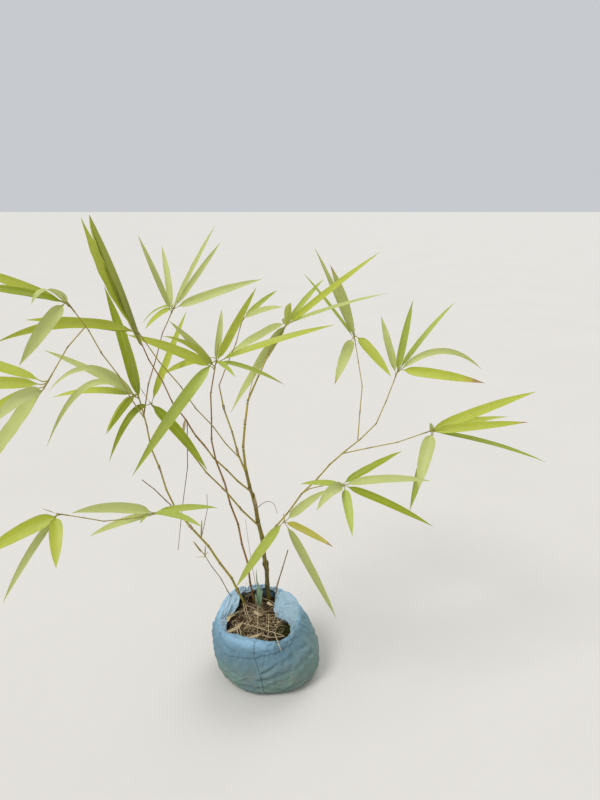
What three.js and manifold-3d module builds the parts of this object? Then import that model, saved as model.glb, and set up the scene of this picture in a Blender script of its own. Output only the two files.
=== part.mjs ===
// A young clumping bamboo in a filled blue cloth nursery bag.
// Millimetres, +Z up, +X to the plant's right and +Y to its back.
// The origin is the centre of the bag's flat underside.

import * as THREE from 'three';
import { mergeVertices } from 'three/addons/utils/BufferGeometryUtils.js';
import Module from 'manifold-3d';

const wasm = await Module();
wasm.setup();

// Clearance between pieces that touch
const GAP = 0.3;

const material = (color, roughness) => new THREE.MeshStandardMaterial({ color, roughness, metalness: 0 });
const OLIVE_CULM = material(0x75692a, 0.6);
const RED_CULM = material(0x8c5a2a, 0.6);
const YELLOW_BRANCH = material(0x9a8c34, 0.6);
const DEAD_STEM = material(0x8a7a60, 0.85);
const FRESH_SHOOT = material(0x9db8a0, 0.7);
const BLUE_CLOTH = material(0x6c98b8, 0.85);
const SOIL = material(0x5a4632, 0.95);
const LEAF = material(0xa9c23c, 0.55);
const SPEAR_LEAF = material(0x84942f, 0.55);

// Bag: the rim stands at this mean height and is higher at the back than at the front
const RIM_HEIGHT = 141;
const RIM_TILT = 19;
const RIM_WAVE = 3;
const BAG_SIDES = 32;
const BAG_FLOOR = 5;
const BAG_WALL = 3;
const COLLAR_WALL = 9;
const COLLAR_DEPTH = 12;
const COLLAR_ROUND = 3;
// Rings from the underside up: height, share of the rim's tilt, centre, half widths, squareness
const BAG_RINGS = [
  { z: 0, lift: 0, x: 3, y: 0, halfX: 120, halfY: 98, square: 2.8 },
  { z: 10, lift: 0, x: 3, y: 0, halfX: 127, halfY: 105, square: 2.8 },
  { z: 45, lift: 0, x: 2, y: 1, halfX: 129, halfY: 108, square: 2.6 },
  { z: 82, lift: 0.25, x: -6, y: 3, halfX: 124, halfY: 107, square: 2.4 },
  { z: 108, lift: 0.6, x: -16, y: 6, halfX: 115, halfY: 103, square: 2.3 },
];
const COLLAR_RING = { x: -19, y: 8, halfX: 101, halfY: 96, square: 2.2 };

// Soil: its edge on the bag's wall, and the level crown that the culms stand on
const SOIL_EDGE = 115;
const SOIL_EDGE_TILT = 11;
const SOIL_SLACK = 1.4;
const SOIL_SLOPES = [0.35, 0.7];
// The edge keeps this far, as a share, from the shoulder and from the collar
const SOIL_EDGE_KEEP = 0.1;
const SOIL_CROWN = { z: 128, x: -24, y: 64, halfX: 62, halfY: 22 };

// Leaves: share of the length and of the full width, from the petiole to the tip
const BLADE_STATIONS = [[0, 0.12], [0.06, 0.2], [0.28, 1], [0.65, 0.8], [1, 0.03]];
// Thickness of the rib as a share of the length, and rise of the folded edges as a share of the width
const RIB_SHARE = 0.0115;
const RIB_THINNEST = 0.35;
const FOLD_SHARE = 0.14;
// Sprays: a stem starts short of its hub and carries a twig for each leaf at even steps
const STEM_THICK = 2.6;
const STEM_BACK = 12;
const LEAF_STEP = 2.25;
const ROOT_FIRST = 5;
const TWIG_THICK = 2.2;
const TWIG_LENGTH = 9;
const TWIG_VARIES = 0.3;
const TWIG_LEAN = 0.35;
const ROOT_SUNK = 2.5;
// Blades turn their faces towards the front by this angle, give or take, in radians
const FACE_TURN = 0.6;
const ROLL_SPREAD = 0.4;

// Each spray has its hub and its leaves: heading from +X, rise, length, width and arch
const SPRAYS = {
  spray_back_left: {
    hub: [-206, 120, 862],
    leaves: [
      [-155, 70, 180, 13, 2], [110, 55, 170, 15, 5], [20, 60, 215, 13, 5], [45, 45, 205, 13, 5],
      [-5, 20, 220, 20, 4], [-110, -10, 110, 14, 6], [140, -20, 125, 14, 14], [102, -8, 180, 17, 10],
    ],
  },
  spray_centre: {
    hub: [-89, -60, 782],
    leaves: [
      [-165, 25, 180, 20, 6], [-125, 45, 160, 16, 4], [-123, 33, 165, 12, 12], [80, 60, 125, 13, 3],
      [-20, 60, 190, 16, 3], [0, 20, 255, 17, 6], [25, -20, 160, 12, 8], [-55, 0, 85, 11, 4],
      [-145, -45, 265, 23, 12], [145, -15, 165, 14, 8],
    ],
  },
  spray_back_centre: {
    hub: [46, 180, 816],
    leaves: [
      [-80, 40, 110, 22, 3], [-18, 39, 285, 16, 4], [40, 40, 160, 15, 4], [-28, 21, 270, 14, 6],
      [65, 20, 120, 13, 6], [-150, -20, 170, 24, 6], [-160, -55, 245, 26, 12], [92, -10, 190, 17, 10],
    ],
  },
  spray_back_right: {
    hub: [213, 200, 782],
    leaves: [
      [165, 50, 200, 12, 3], [-170, 65, 240, 15, 3], [-140, 65, 200, 22, 4], [-120, -40, 135, 26, 5],
      [-40, -35, 130, 25, 5], [86, -11, 180, 18, 10],
    ],
  },
  spray_right_top: {
    hub: [294, 60, 733],
    leaves: [
      [125, 65, 135, 18, 3], [-35, 80, 170, 16, 3], [15, 50, 205, 12, 6], [-5, 5, 185, 14, 45],
      [-20, 0, 190, 22, 4], [80, -12, 180, 18, 10],
    ],
  },
  spray_right: {
    hub: [344, -60, 644],
    leaves: [
      [5, 20, 240, 21, 5], [25, 0, 220, 16, 4], [-10, 10, 200, 17, 4], [0, -15, 265, 10, 11],
      [-109, -48, 127, 28, 5], [-130, -72, 170, 24, 5], [75, -20, 150, 18, 8],
    ],
  },
  spray_front_right: {
    hub: [164, -140, 563],
    leaves: [
      [15, 25, 140, 17, 4], [-5, 5, 175, 17, 11], [-15, -20, 195, 15, 7], [-80, -35, 110, 18, 4],
      [-120, -5, 105, 20, 12], [145, -15, 105, 12, 4],
    ],
  },
  spray_front: {
    hub: [48, -110, 465],
    leaves: [
      [-170, -55, 185, 21, 4], [0, -65, 270, 19, 4], [-40, -5, 130, 17, 6], [40, 15, 125, 19, 5],
    ],
  },
  spray_low_left: {
    hub: [-215, -130, 495],
    leaves: [
      [-157, 12, 160, 22, 10], [170, -25, 168, 15, 8], [-95, 15, 85, 12, 3], [0, 5, 130, 14, 5],
      [-35, 5, 135, 18, 11],
    ],
  },
  spray_far_left: {
    hub: [-332, -300, 587],
    leaves: [
      [-165, -25, 150, 26, 6], [-170, -55, 205, 13, 10], [-80, -40, 95, 22, 3],
    ],
  },
  spray_left_tall: {
    hub: [-236, -92, 724],
    leaves: [
      [150, 73, 230, 22, 3], [-80, 55, 195, 16, 4], [180, 30, 205, 15, 6], [-150, 15, 170, 13, 52],
      [-170, -25, 205, 14, 74], [160, -5, 220, 14, 12], [160, -43, 125, 14, 10], [-155, -41, 90, 12, 6],
    ],
  },
  spray_left: {
    hub: [-222, -62, 706],
    leaves: [
      [41, 62, 205, 15, 4], [-140, -45, 140, 14, 28], [-30, -40, 180, 20, 5],
    ],
  },
  spray_near_left: {
    hub: [-288, -380, 847],
    leaves: [
      [175, 15, 200, 18, 5], [-170, 0, 185, 18, 6], [170, -30, 225, 18, 8], [-150, -50, 170, 24, 5],
      [-95, -5, 150, 18, 10],
    ],
  },
  spray_near_top: {
    hub: [-260, -330, 951],
    leaves: [
      [-105, 10, 85, 17, 22], [180, 20, 190, 14, 5], [-150, 15, 145, 13, 7], [160, 5, 205, 15, 6],
      [-130, -40, 115, 20, 4],
    ],
  },
  spray_upper_left: {
    hub: [-202, -180, 878],
    leaves: [[-165, 10, 185, 17, 7], [-160, 0, 230, 17, 22]],
  },
  spear: {
    hub: [-200, -200, 882],
    leaves: [[-125, 70, 210, 22, 3], [-110, 60, 225, 16, 4]],
  },
  spray_thin: {
    hub: [-40, 20, 861],
    leaves: [[40, 30, 110, 11, 4], [-35, 20, 115, 13, 6]],
  },
};

// Stems in growing order: a foot in the soil or a place on an earlier stem, the end or the spray
// that it carries, the bow off the straight line, the thickness at both ends and the joint spacing
const STEMS = [
  {
    name: 'culm_main', foot: [2, 79], end: [-46, 62, 503],
    bow: [9, 0, 0], thick: [10, 8.4], joint: 48, look: OLIVE_CULM,
  },
  {
    name: 'culm_red', foot: [-37, 79], end: [-111, 40, 534],
    bow: [10, 0, 0], thick: [5.4, 4.2], joint: 62, look: RED_CULM,
  },
  {
    name: 'culm_left', foot: [-56, 59], end: [-204, 10, 427],
    bow: [20, -6, -6], thick: [6.4, 4.8], joint: 55, look: YELLOW_BRANCH,
  },
  {
    name: 'arm_right', on: 'culm_main', at: 1, spray: 'spray_back_centre',
    bow: [-38, -20, 0], thick: [6.4, 3], joint: 56, look: YELLOW_BRANCH,
  },
  {
    name: 'arm_left', on: 'culm_main', at: 0.96, end: [-95, 30, 717],
    bow: [-5, 0, 0], thick: [5, 3], joint: 60, look: YELLOW_BRANCH,
  },
  {
    name: 'shoot_thin', on: 'arm_left', at: 1, spray: 'spray_thin',
    bow: [3, 0, 0], thick: [2.2, 1.8], joint: 50, look: RED_CULM,
  },
  {
    name: 'branch_upper_left', on: 'arm_left', at: 0.2, spray: 'spray_upper_left',
    bow: [0, 0, -8], thick: [2.8, 2], joint: 70, look: YELLOW_BRANCH,
  },
  {
    name: 'branch_bare', on: 'culm_main', at: 0.84, end: [-170, 0, 655],
    bow: [-12, 8, -8], thick: [4.6, 3], joint: 46, look: YELLOW_BRANCH,
  },
  {
    name: 'branch_spear', on: 'branch_bare', at: 0.6, spray: 'spear',
    bow: [-8, 0, -6], thick: [3.2, 2.2], joint: 72, look: RED_CULM,
  },
  {
    name: 'culm_red_top', on: 'culm_red', at: 1, spray: 'spray_centre',
    bow: [-10, -4, 0], thick: [3.8, 2.6], joint: 66, look: RED_CULM,
  },
  {
    name: 'branch_cross', on: 'culm_main', at: 0.585, spray: 'spray_left',
    bow: [-6, 0, -4], thick: [4.8, 2.6], joint: 68, look: YELLOW_BRANCH,
  },
  {
    name: 'culm_left_upper', on: 'culm_left', at: 1, spray: 'spray_left_tall',
    bow: [-8, 0, 0], thick: [4.2, 3], joint: 64, look: YELLOW_BRANCH,
  },
  {
    name: 'culm_left_top', on: 'culm_left_upper', at: 0.9, spray: 'spray_back_left',
    bow: [-6, 0, 8], thick: [2.8, 2], joint: 60, look: RED_CULM,
  },
  {
    name: 'twig_low_left', on: 'culm_left', at: 0.96, spray: 'spray_low_left',
    bow: [0, 0, 6], thick: [3, 2.2], joint: 50, look: YELLOW_BRANCH,
  },
  {
    name: 'twig_far_left', on: 'twig_low_left', at: 0.6, spray: 'spray_far_left',
    bow: [0, -24, -4], thick: [2.4, 1.8], joint: 62, look: YELLOW_BRANCH,
  },
  {
    name: 'culm_right', on: 'culm_main', at: 0.44, end: [182, 20, 567],
    bow: [0, 0, 16], thick: [4.6, 3.4], joint: 58, look: YELLOW_BRANCH,
  },
  {
    name: 'culm_right_top', on: 'culm_right', at: 1, spray: 'spray_right_top',
    bow: [12, 0, -24], thick: [3, 2.2], joint: 55, look: YELLOW_BRANCH,
  },
  {
    name: 'twig_back_right', on: 'culm_right_top', at: 0.2, spray: 'spray_back_right',
    bow: [12, 0, 6], thick: [2.6, 2], joint: 62, look: YELLOW_BRANCH,
  },
  {
    name: 'twig_right', on: 'culm_right', at: 0.97, spray: 'spray_right',
    bow: [0, 0, -5], thick: [2.8, 2], joint: 60, look: YELLOW_BRANCH,
  },
  {
    name: 'twig_front', on: 'culm_right', at: 0.28, spray: 'spray_front',
    bow: [0, 0, 10], thick: [2.6, 2], joint: 55, look: YELLOW_BRANCH,
  },
  {
    name: 'twig_front_right', on: 'culm_right', at: 0.5, spray: 'spray_front_right',
    bow: [0, 0, 10], thick: [2.6, 2], joint: 60, look: YELLOW_BRANCH,
  },
  {
    name: 'twig_near_top', on: 'culm_left_upper', at: 0.86, spray: 'spray_near_top',
    bow: [-4, 0, 12], thick: [2.6, 1.8], joint: 72, look: YELLOW_BRANCH,
  },
  {
    name: 'twig_near_left', on: 'twig_near_top', at: 0.84, spray: 'spray_near_left',
    bow: [0, 0, 10], thick: [2, 1.8], joint: 50, look: YELLOW_BRANCH,
  },
  {
    name: 'stub_left', on: 'culm_left', at: 0.98, end: [-281, 30, 491],
    bow: [0, 0, 3], thick: [3, 2.4], joint: 32, look: DEAD_STEM,
  },
  {
    name: 'twig_bare_low', on: 'culm_left', at: 0.74, end: [-136, 40, 450],
    bow: [5, 0, 0], thick: [1.8, 1.2], joint: 40, look: DEAD_STEM,
  },
  {
    name: 'twig_bare_high', on: 'arm_right', at: 0.5, end: [-17, 120, 742],
    bow: [0, 0, 0], thick: [1.8, 1.2], joint: 45, look: YELLOW_BRANCH,
  },
  {
    name: 'twig_dead', on: 'branch_bare', at: 0.94, end: [-201, -10, 332],
    bow: [6, 0, 0], thick: [2.2, 1.4], joint: 90, look: DEAD_STEM,
  },
  {
    name: 'twig_rim_left', foot: [-80, 60], end: [-173, 50, 313],
    bow: [0, 0, 8], thick: [2.6, 1.6], joint: 45, look: DEAD_STEM,
  },
  {
    name: 'stub_dead_right', foot: [17, 72], end: [51, 84, 272],
    bow: [-4, 0, 0], thick: [4, 2.6], joint: 45, look: DEAD_STEM,
  },
  {
    name: 'shoot_fresh', foot: [-22, 54], end: [-23, 58, 178],
    bow: [1, 0, 0], thick: [6.4, 3], joint: 22, look: FRESH_SHOOT,
  },
];

// Joints step aside by this share of their spacing and swell by this factor
const ZIGZAG = 0.03;
const JOINT_SWELL = 1.22;
const JOINT_NECK = 0.45;
const THIN_STEM = 3.5;
const STOUT_STEM = 6;
const LEVEL_STEM = 0.8;
// A block below the soil's crown that cuts each foot flat
const GROUND_BLOCK = 40;

// Repeatable random numbers from 0 to 1
function seeded(seed) {
  let state = seed;
  return () => {
    state = (state + 0x6d2b79f5) | 0;
    let mixed = Math.imul(state ^ (state >>> 15), 1 | state);
    mixed = (mixed + Math.imul(mixed ^ (mixed >>> 7), 61 | mixed)) ^ mixed;
    return ((mixed ^ (mixed >>> 14)) >>> 0) / 4294967296;
  };
}

// A closed skin over rings of equal count, with a fan across each end
function loft(rings) {
  const count = rings[0].length;
  const vertices = rings.flat().map((point) => point.toArray());
  const triangles = [];
  for (let ring = 0; ring + 1 < rings.length; ring += 1) {
    for (let side = 0; side < count; side += 1) {
      const a = ring * count + side;
      const b = ring * count + ((side + 1) % count);
      triangles.push([a, b, b + count], [a, b + count, a + count]);
    }
  }
  const ends = [[0, true], [rings.length - 1, false]];
  for (const [ring, flipped] of ends) {
    const middle = new THREE.Vector3();
    rings[ring].forEach((point) => middle.addScaledVector(point, 1 / count));
    vertices.push(middle.toArray());
    for (let side = 0; side < count; side += 1) {
      const a = ring * count + side;
      const b = ring * count + ((side + 1) % count);
      triangles.push(flipped ? [b, a, vertices.length - 1] : [a, b, vertices.length - 1]);
    }
  }
  const geometry = new THREE.BufferGeometry();
  geometry.setAttribute('position', new THREE.Float32BufferAttribute(vertices.flat(), 3));
  geometry.setIndex(triangles.flat());
  return geometry;
}

function toSolid(geometry) {
  const merged = mergeVertices(geometry, 1e-5);
  const mesh = new wasm.Mesh({
    numProp: 3,
    vertProperties: new Float32Array(merged.attributes.position.array),
    triVerts: new Uint32Array(merged.index.array),
  });
  return new wasm.Manifold(mesh);
}

function toGeometry(solid) {
  const mesh = solid.getMesh();
  const geometry = new THREE.BufferGeometry();
  geometry.setAttribute('position', new THREE.BufferAttribute(mesh.vertProperties, 3));
  geometry.setIndex(new THREE.BufferAttribute(mesh.triVerts, 1));
  return geometry;
}

// The largest body of a solid, without the scraps that a cut leaves
function mainBody(solid) {
  const bodies = solid.decompose();
  bodies.sort((a, b) => b.volume() - a.volume());
  return bodies[0];
}

// The point of a superellipse at an angle
function ringPoint(ring, angle, inset, z) {
  const power = 2 / ring.square;
  const across = Math.sign(Math.cos(angle)) * Math.abs(Math.cos(angle)) ** power;
  const along = Math.sign(Math.sin(angle)) * Math.abs(Math.sin(angle)) ** power;
  return new THREE.Vector3(
    ring.x + (ring.halfX - inset) * across,
    ring.y + (ring.halfY - inset) * along,
    z,
  );
}

const angles = Array.from({ length: BAG_SIDES }, (_, side) => (side * 2 * Math.PI) / BAG_SIDES);
const rimOffset = (angle) => RIM_TILT * Math.sin(angle) + RIM_WAVE * Math.sin(3 * angle + 0.8);
const rimHeight = (angle) => RIM_HEIGHT + rimOffset(angle);

function bodyRing(ring, inset, floor) {
  return angles.map((angle) => {
    const z = Math.max(ring.z + ring.lift * rimOffset(angle), floor);
    return ringPoint(ring, angle, inset, z);
  });
}

function collarRing(inset, drop) {
  return angles.map((angle) => ringPoint(COLLAR_RING, angle, inset, rimHeight(angle) - drop));
}

// The rings of the bag's inner wall from its floor to its shoulder
function innerRings(inset, floor) {
  return BAG_RINGS.map((ring) => bodyRing(ring, inset, floor));
}

function makeBag() {
  const outside = BAG_RINGS.map((ring) => bodyRing(ring, 0, 0));
  const collar = [
    collarRing(0, COLLAR_DEPTH),
    collarRing(1, COLLAR_ROUND),
    collarRing(COLLAR_WALL / 2, 0),
    collarRing(COLLAR_WALL - 1, COLLAR_ROUND),
    collarRing(COLLAR_WALL, COLLAR_DEPTH),
  ];
  const inside = innerRings(BAG_WALL, BAG_FLOOR).reverse();
  return loft([...outside, ...collar, ...inside]);
}

function makeSoil() {
  const wall = innerRings(BAG_WALL + SOIL_SLACK, BAG_FLOOR + GAP);
  const shoulder = wall[wall.length - 1];
  const collar = collarRing(COLLAR_WALL + SOIL_SLACK, COLLAR_DEPTH);
  const edge = angles.map((angle, side) => {
    const low = shoulder[side];
    const high = collar[side];
    const level = SOIL_EDGE + SOIL_EDGE_TILT * Math.sin(angle);
    const share = (level - low.z) / (high.z - low.z);
    return low.clone().lerp(high, THREE.MathUtils.clamp(share, SOIL_EDGE_KEEP, 1 - SOIL_EDGE_KEEP));
  });
  const crown = angles.map((angle) => new THREE.Vector3(
    SOIL_CROWN.x + SOIL_CROWN.halfX * Math.cos(angle),
    SOIL_CROWN.y + SOIL_CROWN.halfY * Math.sin(angle),
    SOIL_CROWN.z,
  ));
  const slope = (share) => edge.map((point, side) => point.clone().lerp(crown[side], share));
  return loft([...wall, edge, ...SOIL_SLOPES.map(slope), crown]);
}

function stemSides(thick) {
  if (thick > THIN_STEM) {
    return thick > STOUT_STEM ? 8 : 6;
  }
  return 5;
}

// A tapering stem through its points, swollen at its joints; extra makes it fatter and longer all round
function stemGeometry(points, thick, extra, sides = stemSides(thick[0])) {
  const first = points[0];
  const last = points[points.length - 1];
  const total = first.distanceTo(last);
  const along = last.clone().sub(first).normalize();
  // A sideways reference for the rings, away from the stem's own direction
  const reference = new THREE.Vector3(0, 1, 0);
  if (Math.abs(along.y) > LEVEL_STEM) {
    reference.set(1, 0, 0);
  }
  const rings = [];
  const addRing = (centre, direction, radius) => {
    const across = direction.clone().cross(reference).normalize();
    const other = direction.clone().cross(across).normalize();
    rings.push(Array.from({ length: sides }, (_, side) => {
      const turn = (side * 2 * Math.PI) / sides;
      return centre.clone()
        .addScaledVector(across, radius * Math.cos(turn))
        .addScaledVector(other, radius * Math.sin(turn));
    }));
  };
  points.forEach((point, index) => {
    const before = points[Math.max(index - 1, 0)];
    const after = points[Math.min(index + 1, points.length - 1)];
    const direction = after.clone().sub(before).normalize();
    const share = THREE.MathUtils.clamp(first.distanceTo(point) / total, 0, 1);
    const radius = THREE.MathUtils.lerp(thick[0], thick[1], share) / 2 + extra;
    if (index === 0) {
      addRing(point.clone().addScaledVector(direction, -extra), direction, radius);
      return;
    }
    if (index === points.length - 1) {
      addRing(point.clone().addScaledVector(direction, extra), direction, radius);
      return;
    }
    const neck = thick[0] * JOINT_NECK;
    const swollen = (radius - extra) * JOINT_SWELL + extra;
    if (thick[0] > THIN_STEM) {
      addRing(point.clone().addScaledVector(direction, -neck), direction, radius);
      addRing(point, direction, swollen);
      addRing(point.clone().addScaledVector(direction, neck), direction, radius);
    } else {
      addRing(point, direction, swollen);
    }
  });
  return loft(rings);
}

// The joints of a stem along its bowed line, stepping from side to side
function stemPoints(start, end, bow, joint) {
  const chord = end.clone().sub(start);
  const count = Math.max(Math.round(chord.length() / joint), 1);
  const sideways = chord.clone().cross(new THREE.Vector3(0, 1, 0)).normalize();
  return Array.from({ length: count + 1 }, (_, index) => {
    const share = index / count;
    const step = index === 0 || index === count ? 0 : ZIGZAG * joint * (index % 2 ? 1 : -1);
    return start.clone()
      .addScaledVector(chord, share)
      .addScaledVector(bow, Math.sin(Math.PI * share))
      .addScaledVector(sideways, step);
  });
}

function placeAlong(points, share) {
  const place = share * (points.length - 1);
  const index = Math.min(Math.floor(place), points.length - 2);
  return points[index].clone().lerp(points[index + 1], place - index);
}

function headingVector(heading, rise) {
  const turn = THREE.MathUtils.degToRad(heading);
  const lift = THREE.MathUtils.degToRad(rise);
  return new THREE.Vector3(
    Math.cos(lift) * Math.cos(turn),
    Math.cos(lift) * Math.sin(turn),
    Math.sin(lift),
  );
}

// A leaf blade on its petiole: a folded diamond section along an arched line
function bladeGeometry(base, tip, leaf, extra) {
  const chord = tip.clone().sub(base);
  const length = chord.length();
  const up = new THREE.Vector3(0, 0, 1);
  const pointAt = (share) => base.clone()
    .addScaledVector(chord, share)
    .addScaledVector(up, 4 * leaf.arch * share * (1 - share));
  const rings = BLADE_STATIONS.map(([share, spread]) => {
    const direction = pointAt(share + 0.01).sub(pointAt(share - 0.01)).normalize();
    const level = direction.clone().cross(up).normalize();
    const across = level.clone().applyAxisAngle(direction, leaf.roll);
    const normal = across.clone().cross(direction).normalize();
    const half = (spread * leaf.width) / 2 + extra;
    const rib = (length * RIB_SHARE * THREE.MathUtils.lerp(RIB_THINNEST, 1, spread)) / 2 + extra;
    const edge = spread * leaf.width * FOLD_SHARE;
    const centre = pointAt(share);
    return [
      centre.clone().addScaledVector(across, half).addScaledVector(normal, edge),
      centre.clone().addScaledVector(normal, -rib),
      centre.clone().addScaledVector(across, -half).addScaledVector(normal, edge),
      centre.clone().addScaledVector(normal, rib),
    ];
  });
  return loft(rings);
}

const plant = new THREE.Group();

function addPiece(name, geometry, look) {
  geometry.computeVertexNormals();
  const mesh = new THREE.Mesh(geometry, look);
  mesh.name = name;
  plant.add(mesh);
}

addPiece('bag', makeBag(), BLUE_CLOTH);
addPiece('soil', makeSoil(), SOIL);

// A block whose top is level with the cut feet
function makeGround(foot) {
  const block = new THREE.BoxGeometry(GROUND_BLOCK, GROUND_BLOCK, GROUND_BLOCK);
  block.deleteAttribute('normal');
  block.deleteAttribute('uv');
  block.translate(foot.x, foot.y, foot.z - GROUND_BLOCK / 2);
  return toSolid(block);
}

// Stems grow in order, each cut clear of the ones before it
const grown = {};
const obstacles = [toSolid(makeBag())];
for (const stem of STEMS) {
  const start = stem.foot
    ? new THREE.Vector3(...stem.foot, SOIL_CROWN.z + GAP)
    : placeAlong(grown[stem.on].points, stem.at);
  const end = new THREE.Vector3(...(stem.spray ? SPRAYS[stem.spray].hub : stem.end));
  const points = stemPoints(start, end, new THREE.Vector3(...stem.bow), stem.joint);
  const last = points.length - 1;
  const heading = points[last].clone().sub(points[last - 1]).normalize();
  const carried = points[last].clone().addScaledVector(heading, -STEM_BACK);
  if (stem.spray) {
    points[last] = carried.clone().addScaledVector(heading, -GAP);
  }
  if (stem.foot) {
    points[0] = points[0].clone().lerp(points[1], -stem.thick[0] / stem.joint);
  }
  let solid = toSolid(stemGeometry(points, stem.thick, 0));
  if (stem.foot) {
    solid = solid.subtract(makeGround(start));
  }
  for (const earlier of Object.values(grown)) {
    solid = solid.subtract(earlier.solid);
  }
  grown[stem.name] = { points, heading, carried, solid: toSolid(stemGeometry(points, stem.thick, GAP)) };
  obstacles.push(grown[stem.name].solid);
  addPiece(stem.name, toGeometry(mainBody(solid)), stem.look);
}

// The blade and twig of one leaf, rooted on the spray's stem
function makeLeaf(row, hub, root, heading, random) {
  const [turn, rise, length, width, arch] = row;
  const outward = headingVector(turn, rise);
  const lean = outward.clone().lerp(heading, TWIG_LEAN).normalize();
  const twigLength = TWIG_LENGTH * (1 - TWIG_VARIES + 2 * TWIG_VARIES * random());
  const twigEnd = root.clone().addScaledVector(lean, twigLength);
  const bladeBase = root.clone().addScaledVector(lean, twigLength - ROOT_SUNK);
  const tip = hub.clone().addScaledVector(outward, length);
  const faceTurn = FACE_TURN * Math.cos(THREE.MathUtils.degToRad(turn));
  const leaf = { width, arch, roll: faceTurn + (random() - 0.5) * ROLL_SPREAD };
  const probe = toSolid(bladeGeometry(twigEnd, tip, leaf, GAP));
  if (obstacles.some((other) => probe.intersect(other).volume() > 0)) {
    return null;
  }
  const twig = toSolid(stemGeometry([root, twigEnd], [TWIG_THICK, TWIG_THICK], 0, 3));
  return twig.add(toSolid(bladeGeometry(bladeBase, tip, leaf, 0)));
}

// Sprays: a leaf that would touch a stem or an earlier spray is left out
for (const [order, stem] of STEMS.filter((candidate) => candidate.spray).entries()) {
  const spray = SPRAYS[stem.spray];
  const count = spray.leaves.length;
  const hub = new THREE.Vector3(...spray.hub);
  const random = seeded(order + 1);
  const { heading, carried, solid: bough } = grown[stem.name];
  const reach = STEM_BACK + LEAF_STEP * count;
  const stemTip = carried.clone().addScaledVector(heading, reach);
  let solid = toSolid(stemGeometry([carried, stemTip], [STEM_THICK, TWIG_THICK], 0, 4)).subtract(bough);
  spray.leaves.forEach((row, index) => {
    const along = THREE.MathUtils.lerp(ROOT_FIRST, reach - 1, (index + 1) / count);
    const leaf = makeLeaf(row, hub, carried.clone().addScaledVector(heading, along), heading, random);
    if (leaf) {
      solid = solid.add(leaf);
    }
  });
  const whole = mainBody(solid);
  obstacles.push(whole);
  addPiece(stem.spray, toGeometry(whole), stem.spray === 'spear' ? SPEAR_LEAF : LEAF);
}

export default plant;
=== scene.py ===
# A young clumping bamboo in a filled blue cloth nursery bag, dressed over its solids.
# Shapes are worked out in millimetres, +Z up, from the part's own tables and growing rule.
import math

import bmesh
import bpy
import numpy as np
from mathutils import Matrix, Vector, noise


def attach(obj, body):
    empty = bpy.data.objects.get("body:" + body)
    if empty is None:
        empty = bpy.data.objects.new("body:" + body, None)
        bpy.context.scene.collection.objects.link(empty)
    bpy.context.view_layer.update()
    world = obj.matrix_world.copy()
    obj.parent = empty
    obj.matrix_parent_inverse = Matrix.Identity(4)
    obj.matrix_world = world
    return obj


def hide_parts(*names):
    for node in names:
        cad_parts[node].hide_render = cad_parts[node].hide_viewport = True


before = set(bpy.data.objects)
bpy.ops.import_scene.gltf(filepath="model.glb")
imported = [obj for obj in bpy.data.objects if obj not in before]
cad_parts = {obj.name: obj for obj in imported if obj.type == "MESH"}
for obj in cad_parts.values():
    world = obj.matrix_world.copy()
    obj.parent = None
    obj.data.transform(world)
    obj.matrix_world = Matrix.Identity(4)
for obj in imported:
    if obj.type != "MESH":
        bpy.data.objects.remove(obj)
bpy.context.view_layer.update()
BODY = "root"
MM = 0.001

# Bag
RIM_HEIGHT = 141
RIM_TILT = 19
RIM_WAVE = 3
COLLAR_DEPTH = 12
# Rings from the underside up: height, share of the rim's tilt, centre, half widths, squareness
BAG_RINGS = [
    (0, 0, 6, 0, 105, 97, 2.15),
    (10, 0, 6, 0, 114, 104, 2.2),
    (45, 0, 2, 1, 124, 108, 2.3),
    (82, 0.25, -7, 3, 122, 107, 2.3),
    (108, 0.6, -16, 6, 115, 103, 2.3),
]
COLLAR = (-19, 8, 101, 96, 2.2)
# The mouth inside the folded flaps: heading in degrees, reach from the collar's centre, drop below the rim
MOUTH = [
    (-153, 86, 6), (-146, 88, 5), (-139, 71, 9), (-126, 69, 9), (-104, 62, 10), (-86, 62, 10), (-67, 77, 8),
    (-57, 90, 5), (-45, 93, 4), (-32, 91, 5), (-24, 85, 6), (-15, 77, 8), (-7, 66, 11), (0, 49, 15),
    (15, 41, 16), (34, 43, 16), (52, 62, 12), (64, 84, 8), (75, 90, 6), (97, 85, 7), (113, 82, 8),
    (125, 84, 8), (134, 75, 10), (148, 64, 12), (164, 66, 11), (176, 72, 10),
]
# The front edge that is folded over outwards: heading in degrees and height of its lower edge
CUFF = [
    (-150, 112), (-136, 103), (-127, 99), (-113, 100), (-95, 100), (-81, 105), (-68, 108), (-52, 110),
    (-30, 116),
]
CUFF_FROM = -140
CUFF_TO = -38
CUFF_ROWS = 26
# How far the cuff stands off the wall: all over, more over its middle and more at its hem
CUFF_PUFF = (0.9, 1.6, 0.9)
# Over how many degrees it comes loose at each end
CUFF_ENDS = (7, 14)
CUFF_THICK = 0.8
# The front seam: its heading, how low it starts, its cloth's thickness, and how high each column stands
SEAM_HEADING = -96
SEAM_FOOT = 9
SEAM_THICK = 0.6
SEAM_RISE = [0.0, 0.1, 1.0, 1.15, 1.1, 0.9, 0.0]
STITCH_RISE = 1.6
HEM_STITCH_RISE = 0.55
# How far apart the seam's columns and rows lie on the cloth's map, in metres
SEAM_STEPS = (0.002, 0.0021)
# Stitches in metres
STITCH = {"Spacing": 0.0036, "Length": 0.0025, "Thickness": 0.00042}
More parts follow.
